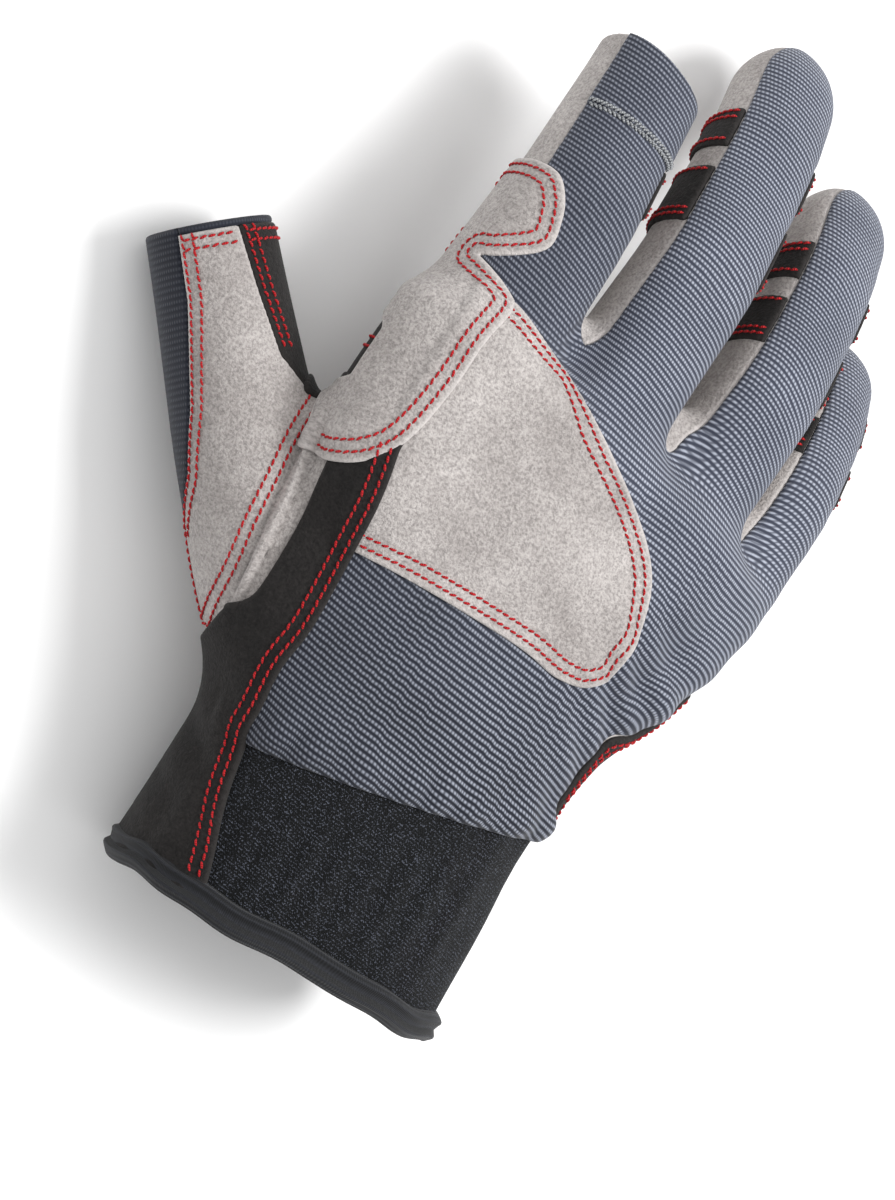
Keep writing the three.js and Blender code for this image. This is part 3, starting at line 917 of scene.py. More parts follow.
def suede_material(name, dark, pale, grain_dark, bump, sheen):
    """A short uneven nap: pale and dark patches, fine fibres, and a paler rubbed edge."""
    shade = Shade(name)
    rest = shade.attribute("rest")
    clouds = shade.ramp(shade.noise(rest, 0.05, 4, 0.6), 0.3, 0.7)
    mottle = shade.ramp(shade.noise(rest, 0.9, 4, 0.7), 0.28, 0.72)
    fibres = shade.noise(rest, 1.7, 2, 0.7)
    base = shade.mix(shade.math("MULTIPLY_ADD", clouds, 0.5, shade.times(mottle, 0.42)), dark, pale)
    speckled = shade.mix(shade.ramp(fibres, 0.34, 0.6, 0.5, 0.0), base, grain_dark)
    rubbed = shade.ramp(shade.attribute("edge", "Fac"), 0.15, 0.9, 0.55, 0.0)
    color = shade.mix(rubbed, speckled, pale)
    height = shade.math("MULTIPLY_ADD", mottle, 0.6, shade.times(fibres, 1.4))
    return shade.finish(color, height, bump, shade.ramp(mottle, 0, 1, 0.98, 0.86), sheen)


def knit_material(name, dark, pale, pitch, bump):
    """A fine plain knit: small leaning loops in columns."""
    shade = Shade(name)
    u, v, _ = shade.split(shade.attribute("cloth"))
    rest = shade.attribute("rest")
    column = shade.math("DIVIDE", u, pitch)
    lean = shade.math("ABSOLUTE", shade.math("SUBTRACT", shade.math("FRACT", column), 0.5))
    loop = shade.wave(shade.math("ADD", shade.math("DIVIDE", v, pitch), lean))
    stem = shade.math("COSINE", shade.times(column, 2 * TURN))
    grain = shade.ramp(shade.noise(rest, 2.7, 1, 0.5), 0.3, 0.7)
    height = shade.math("ADD", shade.times(loop, 0.35), shade.times(stem, -0.2))
    height = shade.math("MULTIPLY_ADD", grain, 1.5, height)
    color = shade.mix(shade.ramp(height, 1.05, 1.75), dark, pale)
    return shade.finish(color, height, bump, 0.9, 0.03)


def thread_material(name, dark, pale):
    """Two-ply thread: the plies wind round it."""
    shade = Shade(name)
    twist = shade.noise(shade.attribute("rest"), 3.0, 2)
    u, v, _ = shade.split(shade.attribute("cloth"))
    strand = shade.wave(shade.math("ADD", shade.math("DIVIDE", u, PLY_PITCH), v), "SINE")
    # Painted highlight and shade: the colour runs pale on the plies' crowns and dark between them, and the
    # noise adds random tone.
    color = shade.mix(shade.math("MULTIPLY_ADD", strand, 0.3, twist), dark, pale)
    return shade.finish(color, strand, 0.06, 0.6, 0.04)


def binding_material(dark, pale):
    """Elastic binding: fine cords that run along it."""
    shade = Shade("binding")
    u, v, _ = shade.split(shade.attribute("cloth"))
    cords = shade.wave(shade.math("DIVIDE", v, CORD_PITCH))
    picks = shade.wave(shade.math("DIVIDE", u, PICK_PITCH))
    grain = shade.noise(shade.attribute("rest"), 1.5, 3, 0.7)
    height = shade.math("MULTIPLY_ADD", picks, 0.25, shade.times(cords, 0.6))
    # Painted highlight: the raised cords are coloured paler than the hollows between them, and the grain adds
    # random tone.
    color = shade.mix(shade.times(shade.ramp(height, -0.8, 0.8), grain), dark, pale)
    return shade.finish(color, height, 0.12, 0.75, 0.1)


RIBBED = ribbed_material("ribbed_stretch", 1.0)
# A copy in painted shade, for the thumb's ribbed back and its mouth tape, which lie on the shaded side.
SHADED_RIBBED = ribbed_material("ribbed_stretch_thumb", 0.14)
GREY = suede_material(
    "grey_suede", linear(136, 130, 127), linear(203, 197, 194), linear(84, 80, 79), 0.22, 0.15
)
BLACK = suede_material("black_suede", linear(15, 14, 14), linear(46, 43, 42), linear(5, 4, 4), 0.18, 0.04)
KNIT = knit_material("cuff_knit", linear(3, 4, 6), linear(82, 86, 97), 0.55, 0.14)
HOOK = knit_material("hook_and_loop", linear(18, 18, 20), linear(48, 48, 52), 1.1, 0.35)
BINDING = binding_material(linear(8, 9, 11), linear(46, 48, 55))
RED = thread_material("red_thread", linear(118, 8, 14), linear(206, 26, 34))
SLATE = thread_material("slate_thread", linear(104, 108, 112), linear(176, 178, 180))


# ---- Outlines in the view plane -----------------------------------------------------------------

CORNER = True


def smooth_line(points, closed=True, steps=6):
    """A smooth line through points. A point with a third value keeps its corner."""
    places = np.array([p[:2] for p in points], float)
    corner = np.array([len(p) > 2 for p in points])
    before, after = np.roll(places, 1, axis=0), np.roll(places, -1, axis=0)
    if not closed:
        before[0], after[-1] = places[0], places[-1]
    slope = 0.5 * (after - before) * ~corner[:, None]
    t = np.linspace(0, 1, steps, endpoint=False)[:, None]
    line = []
    for i in range(len(places) - (0 if closed else 1)):
        j = (i + 1) % len(places)
        a, b, c, d = 2 * t**3 - 3 * t**2 + 1, t**3 - 2 * t**2 + t, 3 * t**2 - 2 * t**3, t**3 - t**2
        line.append(a * places[i] + b * slope[i] + c * places[j] + d * slope[j])
    return np.concatenate(line + ([] if closed else [places[-1:]]))


def line_distance(flat, line, closed):
    """Distance to a line in a plane, and whether each point is inside it."""
    ends = np.roll(line, -1, axis=0) if closed else line[1:]
    starts = line if closed else line[:-1]
    best, inside = np.full(len(flat), np.inf), np.zeros(len(flat), bool)
    for a, b in zip(starts, ends):
        edge, rel = b - a, flat - a
        t = np.clip(rel @ edge / max(edge @ edge, 1e-9), 0, 1)
        best = np.minimum(best, np.linalg.norm(rel - t[:, None] * edge, axis=1))
        rises = (a[1] <= flat[:, 1]) != (b[1] <= flat[:, 1])
        if rises.any():
            crossing = a[0] + (flat[:, 1] - a[1]) * edge[0] / (edge[1] if edge[1] else 1)
            inside ^= rises & (flat[:, 0] < crossing)
    return best, inside


def outline_field(points, outline, reach=8.0):
    """Millimetres inside an outline that is drawn in the view plane; negative outside."""
    flat = np.stack(in_view(points), axis=1)
    line = smooth_line(outline)
    near = ((flat > line.min(axis=0) - reach) & (flat < line.max(axis=0) + reach)).all(axis=1)
    field = np.full(len(points), -reach)
    distance, inside = line_distance(flat[near], line, True)
    field[near] = np.clip(np.where(inside, distance, -distance), -reach, reach)
    return field


RADIAL_PATCH = [
    (-60, 84), (-44.9, 84.6), (-40.6, 84.9), (-35.5, 87.6), (-31.6, 92.3), (-29.5, 98.8), (-28.2, 108.7),
    (-27.9, 117.9), (-27.6, 128.4), (-38.7, 133.0, CORNER), (-35, 133.9), (-27.4, 140.1), (-27.8, 146.7),
    (-30, 151.3), (-33.1, 153.9), (-38.3, 153.8), (-42.9, 151.3), (-46, 148.4), (-60, 146),
]
KNUCKLE_PATCH = [
    (-26, 128.2), (-14.6, 123.2), (-4.2, 118.4), (6.5, 112.2), (14.5, 106.6), (19.6, 102.2), (23.3, 97.1),
    (26, 89.7), (26.7, 82.5), (25.5, 77.1), (22.3, 73.9), (16.9, 72.7), (10.2, 73.7), (2.4, 74),
    (-15.4, 73.7), (-31, 72.6, CORNER), (-34, 82.8), (-34, 92.3), (-34, 128, CORNER),
]
SIDE_STRIP_RIGHT = [
    (-31.8, 97.5), (-30.4, 92.3), (-28.7, 84.1), (-27.7, 75), (-26.7, 56.8), (-27.5, 47.2), (-26.7, 38.6),
    (-25.2, 28.9), (-23.1, 19.6), (-19.2, 8.4), (-17.5, 2), (-17, -6),
]
SIDE_STRIP_LEFT = [
    (-62, -6), (-62, 36, CORNER), (-50, 37.5), (-44.6, 41), (-43.4, 47), (-42.4, 52), (-40, 54.6), (-39, 59),
    (-39.3, 71.7), (-40.4, 83.6), (-41, 96),
]
WEB_SEAM = [
    (-49.6, 94.2), (-49.4, 85.9), (-48.3, 76.6), (-47.4, 67.2), (-46.2, 58.6), (-45.6, 51), (-44.4, 44),
]
CROTCH_PATCH = [(-53, 98.4), (-48.5, 100.5), (-44, 100.5), (-43, 95.6), (-47, 94.2), (-52, 93.6)]


# ---- Stitches -----------------------------------------------------------------------------------

ROWS = (1.75, 3.85)  # the two rows along a patch, by distance from its edge
STITCH_PITCH = 1.62
STITCH_TILT = 13.0  # degrees off the row


def contour_lines(surface, field, level):
    """Lines along which a field has a value, each as indices into a set of crossing points."""
    f = field - level
    above = f > 0
    faces = surface.faces
    corners = np.stack([faces, np.roll(faces, -1, axis=1)], axis=2)
    crossing = above[corners[:, :, 0]] != above[corners[:, :, 1]]
    mixed = crossing.sum(axis=1) == 2
    if not mixed.any():
        return {}, []
    pairs = np.sort(corners[mixed][crossing[mixed]].reshape(-1, 2, 2), axis=2)
    keys, where = np.unique(pairs.reshape(-1, 2), axis=0, return_inverse=True)
    links = where.reshape(-1, 2)
    a, b = keys[:, 0], keys[:, 1]
    t = f[a] / (f[a] - f[b])
    values = {"points": surface.points, **surface.data}
    at_crossings = {name: between(v, a, b, t) for name, v in values.items()}
    beside = [[] for _ in keys]
    for i, j in links.tolist():
        beside[i].append(j)
        beside[j].append(i)
    lines, seen = [], np.zeros(len(keys), bool)
    order = sorted(range(len(keys)), key=lambda i: len(beside[i]))
    for start in order:
        if seen[start]:
            continue
        line, here = [start], start
        seen[start] = True
        while True:
            ahead = [j for j in beside[here] if not seen[j]]
            if not ahead:
                break
            here = ahead[0]
            seen[here] = True
            line.append(here)
        if len(line) > 4:
            if start in beside[line[-1]]:
                line.append(start)
            lines.append(np.array(line))
    return at_crossings, lines


class Thread:
    """All the stitches of one colour, gathered by fold."""

    def __init__(self, name, material, slot, tilt=STITCH_TILT):
        self.name, self.material, self.slot, self.tilt, self.places = name, material, slot, tilt, {}

    def sew_row(self, surface, field, level, where=None, lift=0.0, pitch=STITCH_PITCH):
        """Sews along the lines where a field has a value, in the stretches that where allows."""
        values, lines = contour_lines(surface, field, level)
        for line in lines:
            data = {name: v[line] for name, v in values.items()}
            if where is None:
                self.sew_line(data, lift, pitch)
                continue
            keep = where(data)
            for run in np.split(np.arange(len(line)), np.flatnonzero(np.diff(keep.astype(int))) + 1):
                if len(run) > 4 and keep[run[0]]:
                    self.sew_line({name: v[run] for name, v in data.items()}, lift, pitch)

    def sew_line(self, data, lift, pitch):
        """Sets stitches along one line, each with its place, its direction and the cloth's normal."""
        points = data["points"]
        for _ in range(6):
            inner = 0.25 * points[:-2] + 0.5 * points[1:-1] + 0.25 * points[2:]
            points = np.concatenate([points[:1], inner, points[-1:]])
        steps = np.linalg.norm(np.diff(points, axis=0), axis=1)
        run = np.concatenate([[0], np.cumsum(steps)])
        count = int(run[-1] / pitch)
        if count < 2:
            return
        at = (np.arange(count) + 0.5) * run[-1] / count

        def values_at(values, places):
            return np.stack([np.interp(places, run, values[:, i]) for i in range(3)], axis=1)

        centre, normal = values_at(points, at), values_at(data["normal"], at)
        tangent = values_at(points, at + 0.4) - values_at(points, at - 0.4)
        nearest = np.searchsorted(run, at).clip(0, len(run) - 1)
        owner = np.full(count, "hand", object)
        for fold in FOLDS[:-1]:
            inside = fold.field({k: v[nearest] for k, v in data.items()}) > 0
            owner[inside & (owner == "hand")] = fold.name
        for name in dict.fromkeys(owner):
            mine = owner == name
            self.places.setdefault(name, []).append(
                np.concatenate([centre + normal * lift, tangent, normal], axis=1)[mine]
            )

    def make(self):
        for fold_name, rows in self.places.items():
            surface = stitches(np.concatenate(rows), self.tilt)
            piece = make_object(f"{self.name}.{fold_name}", surface, self.material)
            place_in_fold(piece, fold_name, surface.points)


def stitches(rows, tilt, length=1.46, radius=0.26, rings=5, sides=6):
    """One twisted stitch at each row: a bowed, blunt-ended strand that dips into the cloth."""
    centre, tangent, normal = rows[:, :3], rows[:, 3:6], rows[:, 6:]
    normal = normal / np.linalg.norm(normal, axis=1, keepdims=True)
    tangent = tangent - (tangent * normal).sum(axis=1, keepdims=True) * normal
    tangent = tangent / np.linalg.norm(tangent, axis=1, keepdims=True)
    side = np.cross(normal, tangent)
    lean = np.radians(tilt + 7 * np.sin(2.4 * np.arange(len(rows))))[:, None]
    tangent, side = np.cos(lean) * tangent + np.sin(lean) * side, np.cos(lean) * side - np.sin(lean) * tangent
    points, cloth = [], []
    for s in np.linspace(-1, 1, rings):
        width = radius * (1 - 0.5 * s**4)
        middle = centre + tangent * s * length / 2 + normal * (0.24 - 0.3 * s**2)
        for k in range(sides):
            turn = TURN * k / sides
            points.append(middle + width * (math.cos(turn) * side + math.sin(turn) * normal))
            cloth.append(np.broadcast_to([s * length / 2, k / sides, 0], centre.shape))
    points, cloth = np.stack(points, axis=1), np.stack(cloth, axis=1)
    faces = []
    for r in range(rings - 1):
        for k in range(sides):
            a, b = r * sides + k, r * sides + (k + 1) % sides
            faces += [(a, b + sides, b), (a, a + sides, b + sides)]
    last = (rings - 1) * sides
    for k in range(1, sides - 1):
        faces += [(0, k, k + 1), (last, last + k + 1, last + k)]
    each = rings * sides
    faces = (np.array(faces)[None] + each * np.arange(len(rows))[:, None, None]).reshape(-1, 3)
    points, cloth = points.reshape(-1, 3), cloth.reshape(-1, 3)
    return Surface(points, faces, {"cloth": cloth, "rest": points.copy()})


RED_THREAD = Thread("red_stitches", RED, "grey_suede")
SLATE_THREAD = Thread("slate_stitches", SLATE, "ribbed_stretch", tilt=35.0)
SLATE_RETURN = Thread("slate_return_stitches", SLATE, "ribbed_stretch", tilt=-35.0)  # the zigzag's way back

# ---- Panels -------------------------------------------------------------------------------------


def wrinkles(surface):
    """How far the cloth, as it sits on the hand, stands out in folds, in millimetres."""
    x, y, _ = surface.points.T
    across, up = in_view(surface.points)
    data = surface.data
    dorsal = smooth_step(data["seam"], -2, 3)
    above_cuff = y - CUFF_TOP - CUFF_SLANT * x
    gathers = 0.45 * np.sin(TURN * (x / 8.5 + 0.2 * np.sin(x / 5))) * bell(above_cuff, 4, 6) * dorsal
    phase = y * 0.085 + x * 0.06 + 0.35 * np.sin(x * 0.11 + y * 0.05)
    slack = 0.65 * np.sin(TURN * phase) * smooth_step(x, 8, 26) * bell(y, 74, 20) * dorsal

    def crease(middle):
        return np.exp(-np.abs(across - middle) / 0.8)

    # The web of the thumb folds twice, with a soft roll between the creases.
    along_web = window(up, 48, 60, 86, 94)
    from_middle = up - 75
    roll = 2.4 * bell(across, -44.0 - 0.11 * from_middle, 1.7) - 2.5 * crease(-45.6 - 0.13 * from_middle)
    second = -2.3 * crease(-42.8 - 0.1 * from_middle)
    down_strip = smooth_step(-across, 27, 33) * bell(up, 27, 15)
    strip_folds = 0.75 * np.sin(TURN * (up * 0.085 + across * 0.045)) * down_strip
    facing = smooth_step(data["normal"] @ VIEW_BACK, 0.1, 0.5)
    total = gathers + slack + ((roll + second) * along_web + strip_folds) * facing
    for name, finger in FINGER.items():
        t = data[f"t_{name}"]
        for k in range(1, len(finger.lengths)):
            phase = t / 6.2 + 0.12 * data[f"s_{name}"] / 5 + 0.3 * k
            at_joint = 0.05 * np.sin(TURN * phase) * bell(t, sum(finger.lengths[:k]), 8)
            total = total + np.where(data[f"near_{name}"] > 0, at_joint * dorsal, 0)
    return total + 0.25 * np.sin(TURN * across / 6.0) * bell(above_cuff, -20, 14)


SKIN = open_ends(skin_surface())
SKIN.points = SKIN.points + SKIN.data["normal"] * wrinkles(SKIN)[:, None]
SKIN.data["normal"] = vertex_normals(SKIN.points, SKIN.faces)
POINTS, DATA = SKIN.points, SKIN.data


def rounded_lift(edge, lift, radius=0.9, drop=0.6):
    """A raised cloth whose raw edge rolls down over a short radius."""
    t = 1 - np.clip(edge / radius, 0, 1)
    return lift - drop * (1 - np.sqrt(np.maximum(1 - t**2, 0)))


def cut_from_skin(field, lift, drop):
    """The skin where the field is positive, and how high its cloth stands. lift may vary over the skin."""
    DATA["lift"] = np.broadcast_to(np.asarray(lift, float), len(POINTS)).copy()
    cut = SKIN.clipped(field)
    cut.data["edge"] = distance_to_border(cut)
    return cut, rounded_lift(cut.data["edge"], cut.data["lift"], drop=drop)


def panel(name, field, material, lift=0.0, drop=0.5, thickness=CLOTH, replaces=None, sewn_down=False):
    """Cuts a panel from the skin, makes its objects, and returns its upper face for the stitches."""
    cut, height = cut_from_skin(field, lift, drop)
    for row in ROWS if sewn_down else ():
        height = height - 0.16 * bell(cut.data["edge"], row, 0.55)
    put(name, shell(cut, height, thickness), material, replaces)
    cut.points = cut.points + cut.data["normal"] * height[:, None]
    return cut


CUFF_LINE = POINTS[:, 1] - (CUFF_TOP + CUFF_SLANT * POINTS[:, 0])
THUMB_T, THUMB_X, THUMB_Z, NEAR_THUMB = (DATA[k] for k in ("thumb_t", "thumb_x", "thumb_z", "near_thumb"))
ACROSS, UP = in_view(POINTS)


def sector(low, high):
    """Inside a sector round the thumb, in roughly millimetres; angles go from the camera outwards."""
    turns = (np.radians(low), -1), (np.radians(high), 1)
    return within(*(sign * (THUMB_Z * np.sin(turn) - THUMB_X * np.cos(turn)) for turn, sign in turns))


# The thumb's ribbed back and black side, whose front edges turn round it from its root to its mouth.
RIB_FRONT = np.interp(THUMB_T, [-14, -4, 8, 28, 42], [92, 60, 44, 30, 29])
thumb_rib = within(sector(RIB_FRONT, 165.0), NEAR_THUMB + 6, THUMB_T + 16)
BLACK_FRONT = np.interp(THUMB_T, [2, 8, 15, 28, 42], [-96, -70, -46, -36, -28])
thumb_black = within(sector(-128.0, BLACK_FRONT), NEAR_THUMB + 8, THUMB_T - 2)
UNDER_STRIP = ACROSS + 34 + 3 * np.maximum(UP - 92, 0)  # the back ends under the strip by the thumb
upper = within(DATA["seam"], UNDER_STRIP)
PAST_THUMB_MOUTH = np.where(NEAR_THUMB > 0, THUMB_T - THUMB.length + THUMB_TAPE, -20)
back_rib = within(upper, CUFF_LINE)
suede = within(-upper, CUFF_LINE, -thumb_rib, -thumb_black, -PAST_THUMB_MOUTH)
thumb_black = within(thumb_black, -PAST_THUMB_MOUTH)

BACK_NODES = {
    "hand": ["back_panel"] + [f"{name}_root_back" for name in FINGER],
    "index_middle": ["index_tip_back", "index_hem"],
}
FRONT_NODES = {
    "hand": ["palm_panel", "thenar_panel"] + [f"{name}_root_front" for name in FINGER],
    "index_middle": ["index_tip_front"], "thumb_root": ["thumb_root_front"], "thumb_end": ["thumb_tip_front"],
}
for finger_name in ("middle", "ring", "little"):
    for fold_part, node_part in (("middle", "mid"), ("tip", "tip")):
        BACK_NODES[f"{finger_name}_{fold_part}"] = [f"{finger_name}_{node_part}_back"]
        FRONT_NODES[f"{finger_name}_{fold_part}"] = [f"{finger_name}_{node_part}_front"]

BULGE = (1.4 + 0.02 * np.clip(POINTS[:, 0], -20, 36)) * bell(CUFF_LINE, 3.5, 3.6)  # the back over the cuff
HEM_START = FINGER["index"].length - COVERSTITCH
HEM_STEP = 0.4 * smooth_step(DATA["t_index"], HEM_START - 0.3, HEM_START + 0.3)
back_lift = BACK_LIFT + BULGE + np.where(DATA["near_index"] > 0, HEM_STEP, 0)

back = panel("ribbed_back", back_rib, RIBBED, back_lift, replaces=BACK_NODES)
front = panel("suede_front", suede, GREY, replaces=FRONT_NODES)
panel(
    "thumb_ribbed_back", thumb_rib, SHADED_RIBBED, -0.15,
    replaces={"thumb_root": ["thumb_root_back"], "thumb_end": ["thumb_tip_back", "thumb_hem"]},
)
thumb_side = panel("thumb_black_side", thumb_black, BLACK, 0.1)
thumb_tape = within(PAST_THUMB_MOUTH, -thumb_rib)
panel("thumb_mouth_tape", thumb_tape, SHADED_RIBBED, -0.3)
panel(
    "cuff", within(-CUFF_LINE + 1.5, POINTS[:, 1] - HEM + 3), KNIT, CUFF_LIFT,
    thickness=CUFF_CLOTH, replaces={"hand": ["cuff_back", "cuff_front"]},
)

# ---- Patches ------------------------------------------------------------------------------------

SEEN = 14 * (DATA["normal"] @ VIEW_BACK + 0.4)  # falls through zero a little past the view's outline
PATCH_LIFT = BACK_LIFT + SUEDE
OVERLAP = 0.75  # a patch steps up where it crosses another


def covers(field):
    return smooth_step(field, -1.5, 0.5)


knuckle_field = within(outline_field(POINTS, KNUCKLE_PATCH), SEEN)
knuckles = panel(
    "knuckle_patch", knuckle_field, GREY, PATCH_LIFT + 0.15, thickness=SUEDE, sewn_down=True,
    replaces={"hand": ["knuckle_patch_lower", "knuckle_patch_upper"]},
)

strip_field = within(outline_field(POINTS, SIDE_STRIP_RIGHT + SIDE_STRIP_LEFT), SEEN + 3)
strip_lift = PATCH_LIFT + 0.1 + OVERLAP * covers(knuckle_field) + BULGE * smooth_step(back_rib, -2.5, 0.5)
strip = panel(
    "side_strip", strip_field, BLACK, strip_lift, thickness=SUEDE,
    replaces={"hand": ["side_strip"]},
)

SIDE_LOW, SIDE_HIGH = 97.5, 119  # the black piece beside the index finger's root, up the view
index_side = within(SEEN + 7, 16 - SEEN, UP - SIDE_LOW, SIDE_HIGH - UP, 1 - NEAR_THUMB, -36 - ACROSS)
side = panel("index_side_patch", index_side, BLACK, 0.4, thickness=THIN_SUEDE)
for row in (9.5, 11.5):
    RED_THREAD.sew_row(side, in_view(side.data["rest"])[1] - SIDE_LOW, row, lambda d: d["edge"] > 0.7)

beside_index = window(UP, 97, 101, 111, 117)
radial_field = within(outline_field(POINTS, RADIAL_PATCH), 1 - NEAR_THUMB, SEEN - 12 * beside_index)
radial_lift = 0.5 + SUEDE + 0.85 * np.maximum(covers(knuckle_field), covers(strip_field))
radial = panel("radial_patch", radial_field, GREY, radial_lift, thickness=SUEDE, sewn_down=True)
panel(
    "thumb_crotch_patch", within(outline_field(POINTS, CROTCH_PATCH), SEEN), BLACK,
    PALM_LIFT, thickness=SUEDE,
)


def on_radial(data):
    """The patch is sewn along its outline where it shows, but not up its edge by the thumb."""
    across, up = in_view(data["rest"])
    by_outline = outline_field(data["rest"], RADIAL_PATCH) < 4.8
    return by_outline & (data["normal"] @ VIEW_BACK > -0.1) & ((across > -44.6) | (up > 101))


strip_right = distance_to_border(strip, chosen=lambda p: p @ VIEW_ACROSS > -32.5)
for row in ROWS:
    RED_THREAD.sew_row(knuckles, knuckles.data["edge"], row, lambda d: d["rest"] @ VIEW_ACROSS > -29.5)
    RED_THREAD.sew_row(radial, radial.data["edge"], row, on_radial)
for row in ROWS:
    RED_THREAD.sew_row(strip, strip_right, row, lambda d: (d["rest"][:, 1] < 93) & (d["rest"][:, 1] > HEM))

for name, finger in FINGER.items():
    t, near = DATA[f"t_{name}"], DATA[f"near_{name}"]
    for k, (low, high) in enumerate(finger.bands):
        field = within(t - low, high - t, -DATA["seam"] - 0.2, near)
        part, fold = ("mid", "middle") if k == 0 else ("tip", "tip")
        if name == "index":
            field = within(field, DATA["s_index"] + 2)
            part = "tip"
        band = panel(
            f"{name}_grip_band_{k + 1}", field, BLACK, GRIP_LIFT, drop=0.35, thickness=SUEDE,
            replaces={f"{name}_{fold}": [f"{name}_{part}_grip_band"]},
        )
        from_low, from_high = band.data[f"t_{name}"] - low, high - band.data[f"t_{name}"]
        double, single = (from_low, from_high) if k == 0 else (from_high, from_low)
        for distance, row in ((double, 1.0), (double, 2.5), (single, 1.2)):
            RED_THREAD.sew_row(band, distance, row, lambda d: d["edge"] > 0.6, pitch=1.45)


def palm_box(x0, x1, y0, y1, radius):
    """Millimetres inside a rounded rectangle of the palm."""
    qx = np.abs(POINTS[:, 0] - (x0 + x1) / 2) - (x1 - x0) / 2 + radius
    qy = np.abs(POINTS[:, 1] - (y0 + y1) / 2) - (y1 - y0) / 2 + radius
    outside = np.hypot(np.maximum(qx, 0), np.maximum(qy, 0)) + np.minimum(np.maximum(qx, qy), 0)
    return -(outside - radius)


PALM_SIDE = 12 * (DATA["ratio"] + SIDE_SEAM)  # negative on the palm, positive up the hand's side
palm = panel(
    "palm_patch", within(palm_box(-18, 44, 50, 88, 10), -PALM_SIDE), BLACK, PALM_LIFT,
    thickness=SUEDE, replaces={"hand": ["palm_patch"]},
)
ulnar = panel(
    "ulnar_patch", within(palm_box(22, 70, 46, 84, 6), PALM_SIDE - 0.3, -DATA["seam"] - 0.3), BLACK,
    PALM_LIFT, thickness=SUEDE, replaces={"hand": ["ulnar_patch"]},
)
for row in ROWS:
    RED_THREAD.sew_row(palm, palm.data["edge"], row)
for row in (1.5, 3.1):
    RED_THREAD.sew_row(ulnar, -ulnar.data["seam"], row, lambda d: d["edge"] > 1.0)

# ---- Seams with red thread beside them ----------------------------------------------------------

TAPE_EDGE = THUMB.length - THUMB_TAPE


def by_rib(places):
    """The border between the thumb's suede and its ribbed back."""
    t, left, facing = THUMB.local(places)
    return (left > 1) & (facing > -2) & (t < TAPE_EDGE - 0.7) & (t > -18)


def by_suede(places):
    """The border between the thumb's black side and its suede."""
    t, _, facing = THUMB.local(places)
    return (facing > 0) & (t < TAPE_EDGE - 0.7)


rib_edge = distance_to_border(front, chosen=by_rib)
black_edge = distance_to_border(thumb_side, chosen=by_suede)
for row in (1.2, 3.3):
    RED_THREAD.sew_row(front, rib_edge, row, lambda d: (d["thumb_t"] > -16) & (d["thumb_z"] > 0))
for row in (1.2, 3.0):
    RED_THREAD.sew_row(thumb_side, black_edge, row, lambda d: d["thumb_t"] > 16)


def round_mouth(data):
    on_thumb = (data["near_thumb"] > 4) & (data["thumb_t"] > 20)
    return on_thumb & (data["edge"] > 1) & (data["thumb_z"] > -6)


for row in (THUMB_TAPE + 1.2, THUMB_TAPE + 3.1):
    for piece in (front, thumb_side):
        RED_THREAD.sew_row(piece, THUMB.length - piece.data["thumb_t"], row, round_mouth)

# Where the thumb's cone meets the hand, one row on each side of the seam.
seam_line = smooth_line(WEB_SEAM, closed=False)
flat = np.stack(in_view(front.data["rest"]), axis=1)
seam_distance, _ = line_distance(flat, seam_line, False)
seam_across = np.interp(flat[:, 1], seam_line[::-1, 1], seam_line[::-1, 0])
seam_side = np.where(flat[:, 0] < seam_across, -seam_distance, seam_distance)
on_web = (flat[:, 1] > 46) & (flat[:, 1] < 94) & (front.data["normal"] @ VIEW_BACK > 0.05)
for offset in (-1.0, 1.0):
    RED_THREAD.sew_row(front, np.where(on_web, seam_side, 9), offset, lambda d: d["rest"][:, 1] < 93.5)

# The coverstitch on the index finger's hem: a zigzag.
from_mouth = FINGER["index"].length - back.data["t_index"]
for thread, row in ((SLATE_THREAD, COVERSTITCH - 0.45), (SLATE_RETURN, COVERSTITCH + 0.45)):
    thread.sew_row(
        back, from_mouth, row, lambda d: (d["near_index"] > 0) & (d["edge"] > 0.5), lift=0.1, pitch=0.95
    )
for thread in (SLATE_RETURN, RED_THREAD, SLATE_THREAD):
    thread.make()

# ---- Binding round the mouth --------------------------------------------------------------------


def powered(value, power):
    """A power of a number's size, with the number's sign."""
    return np.sign(value) * np.abs(value) ** power


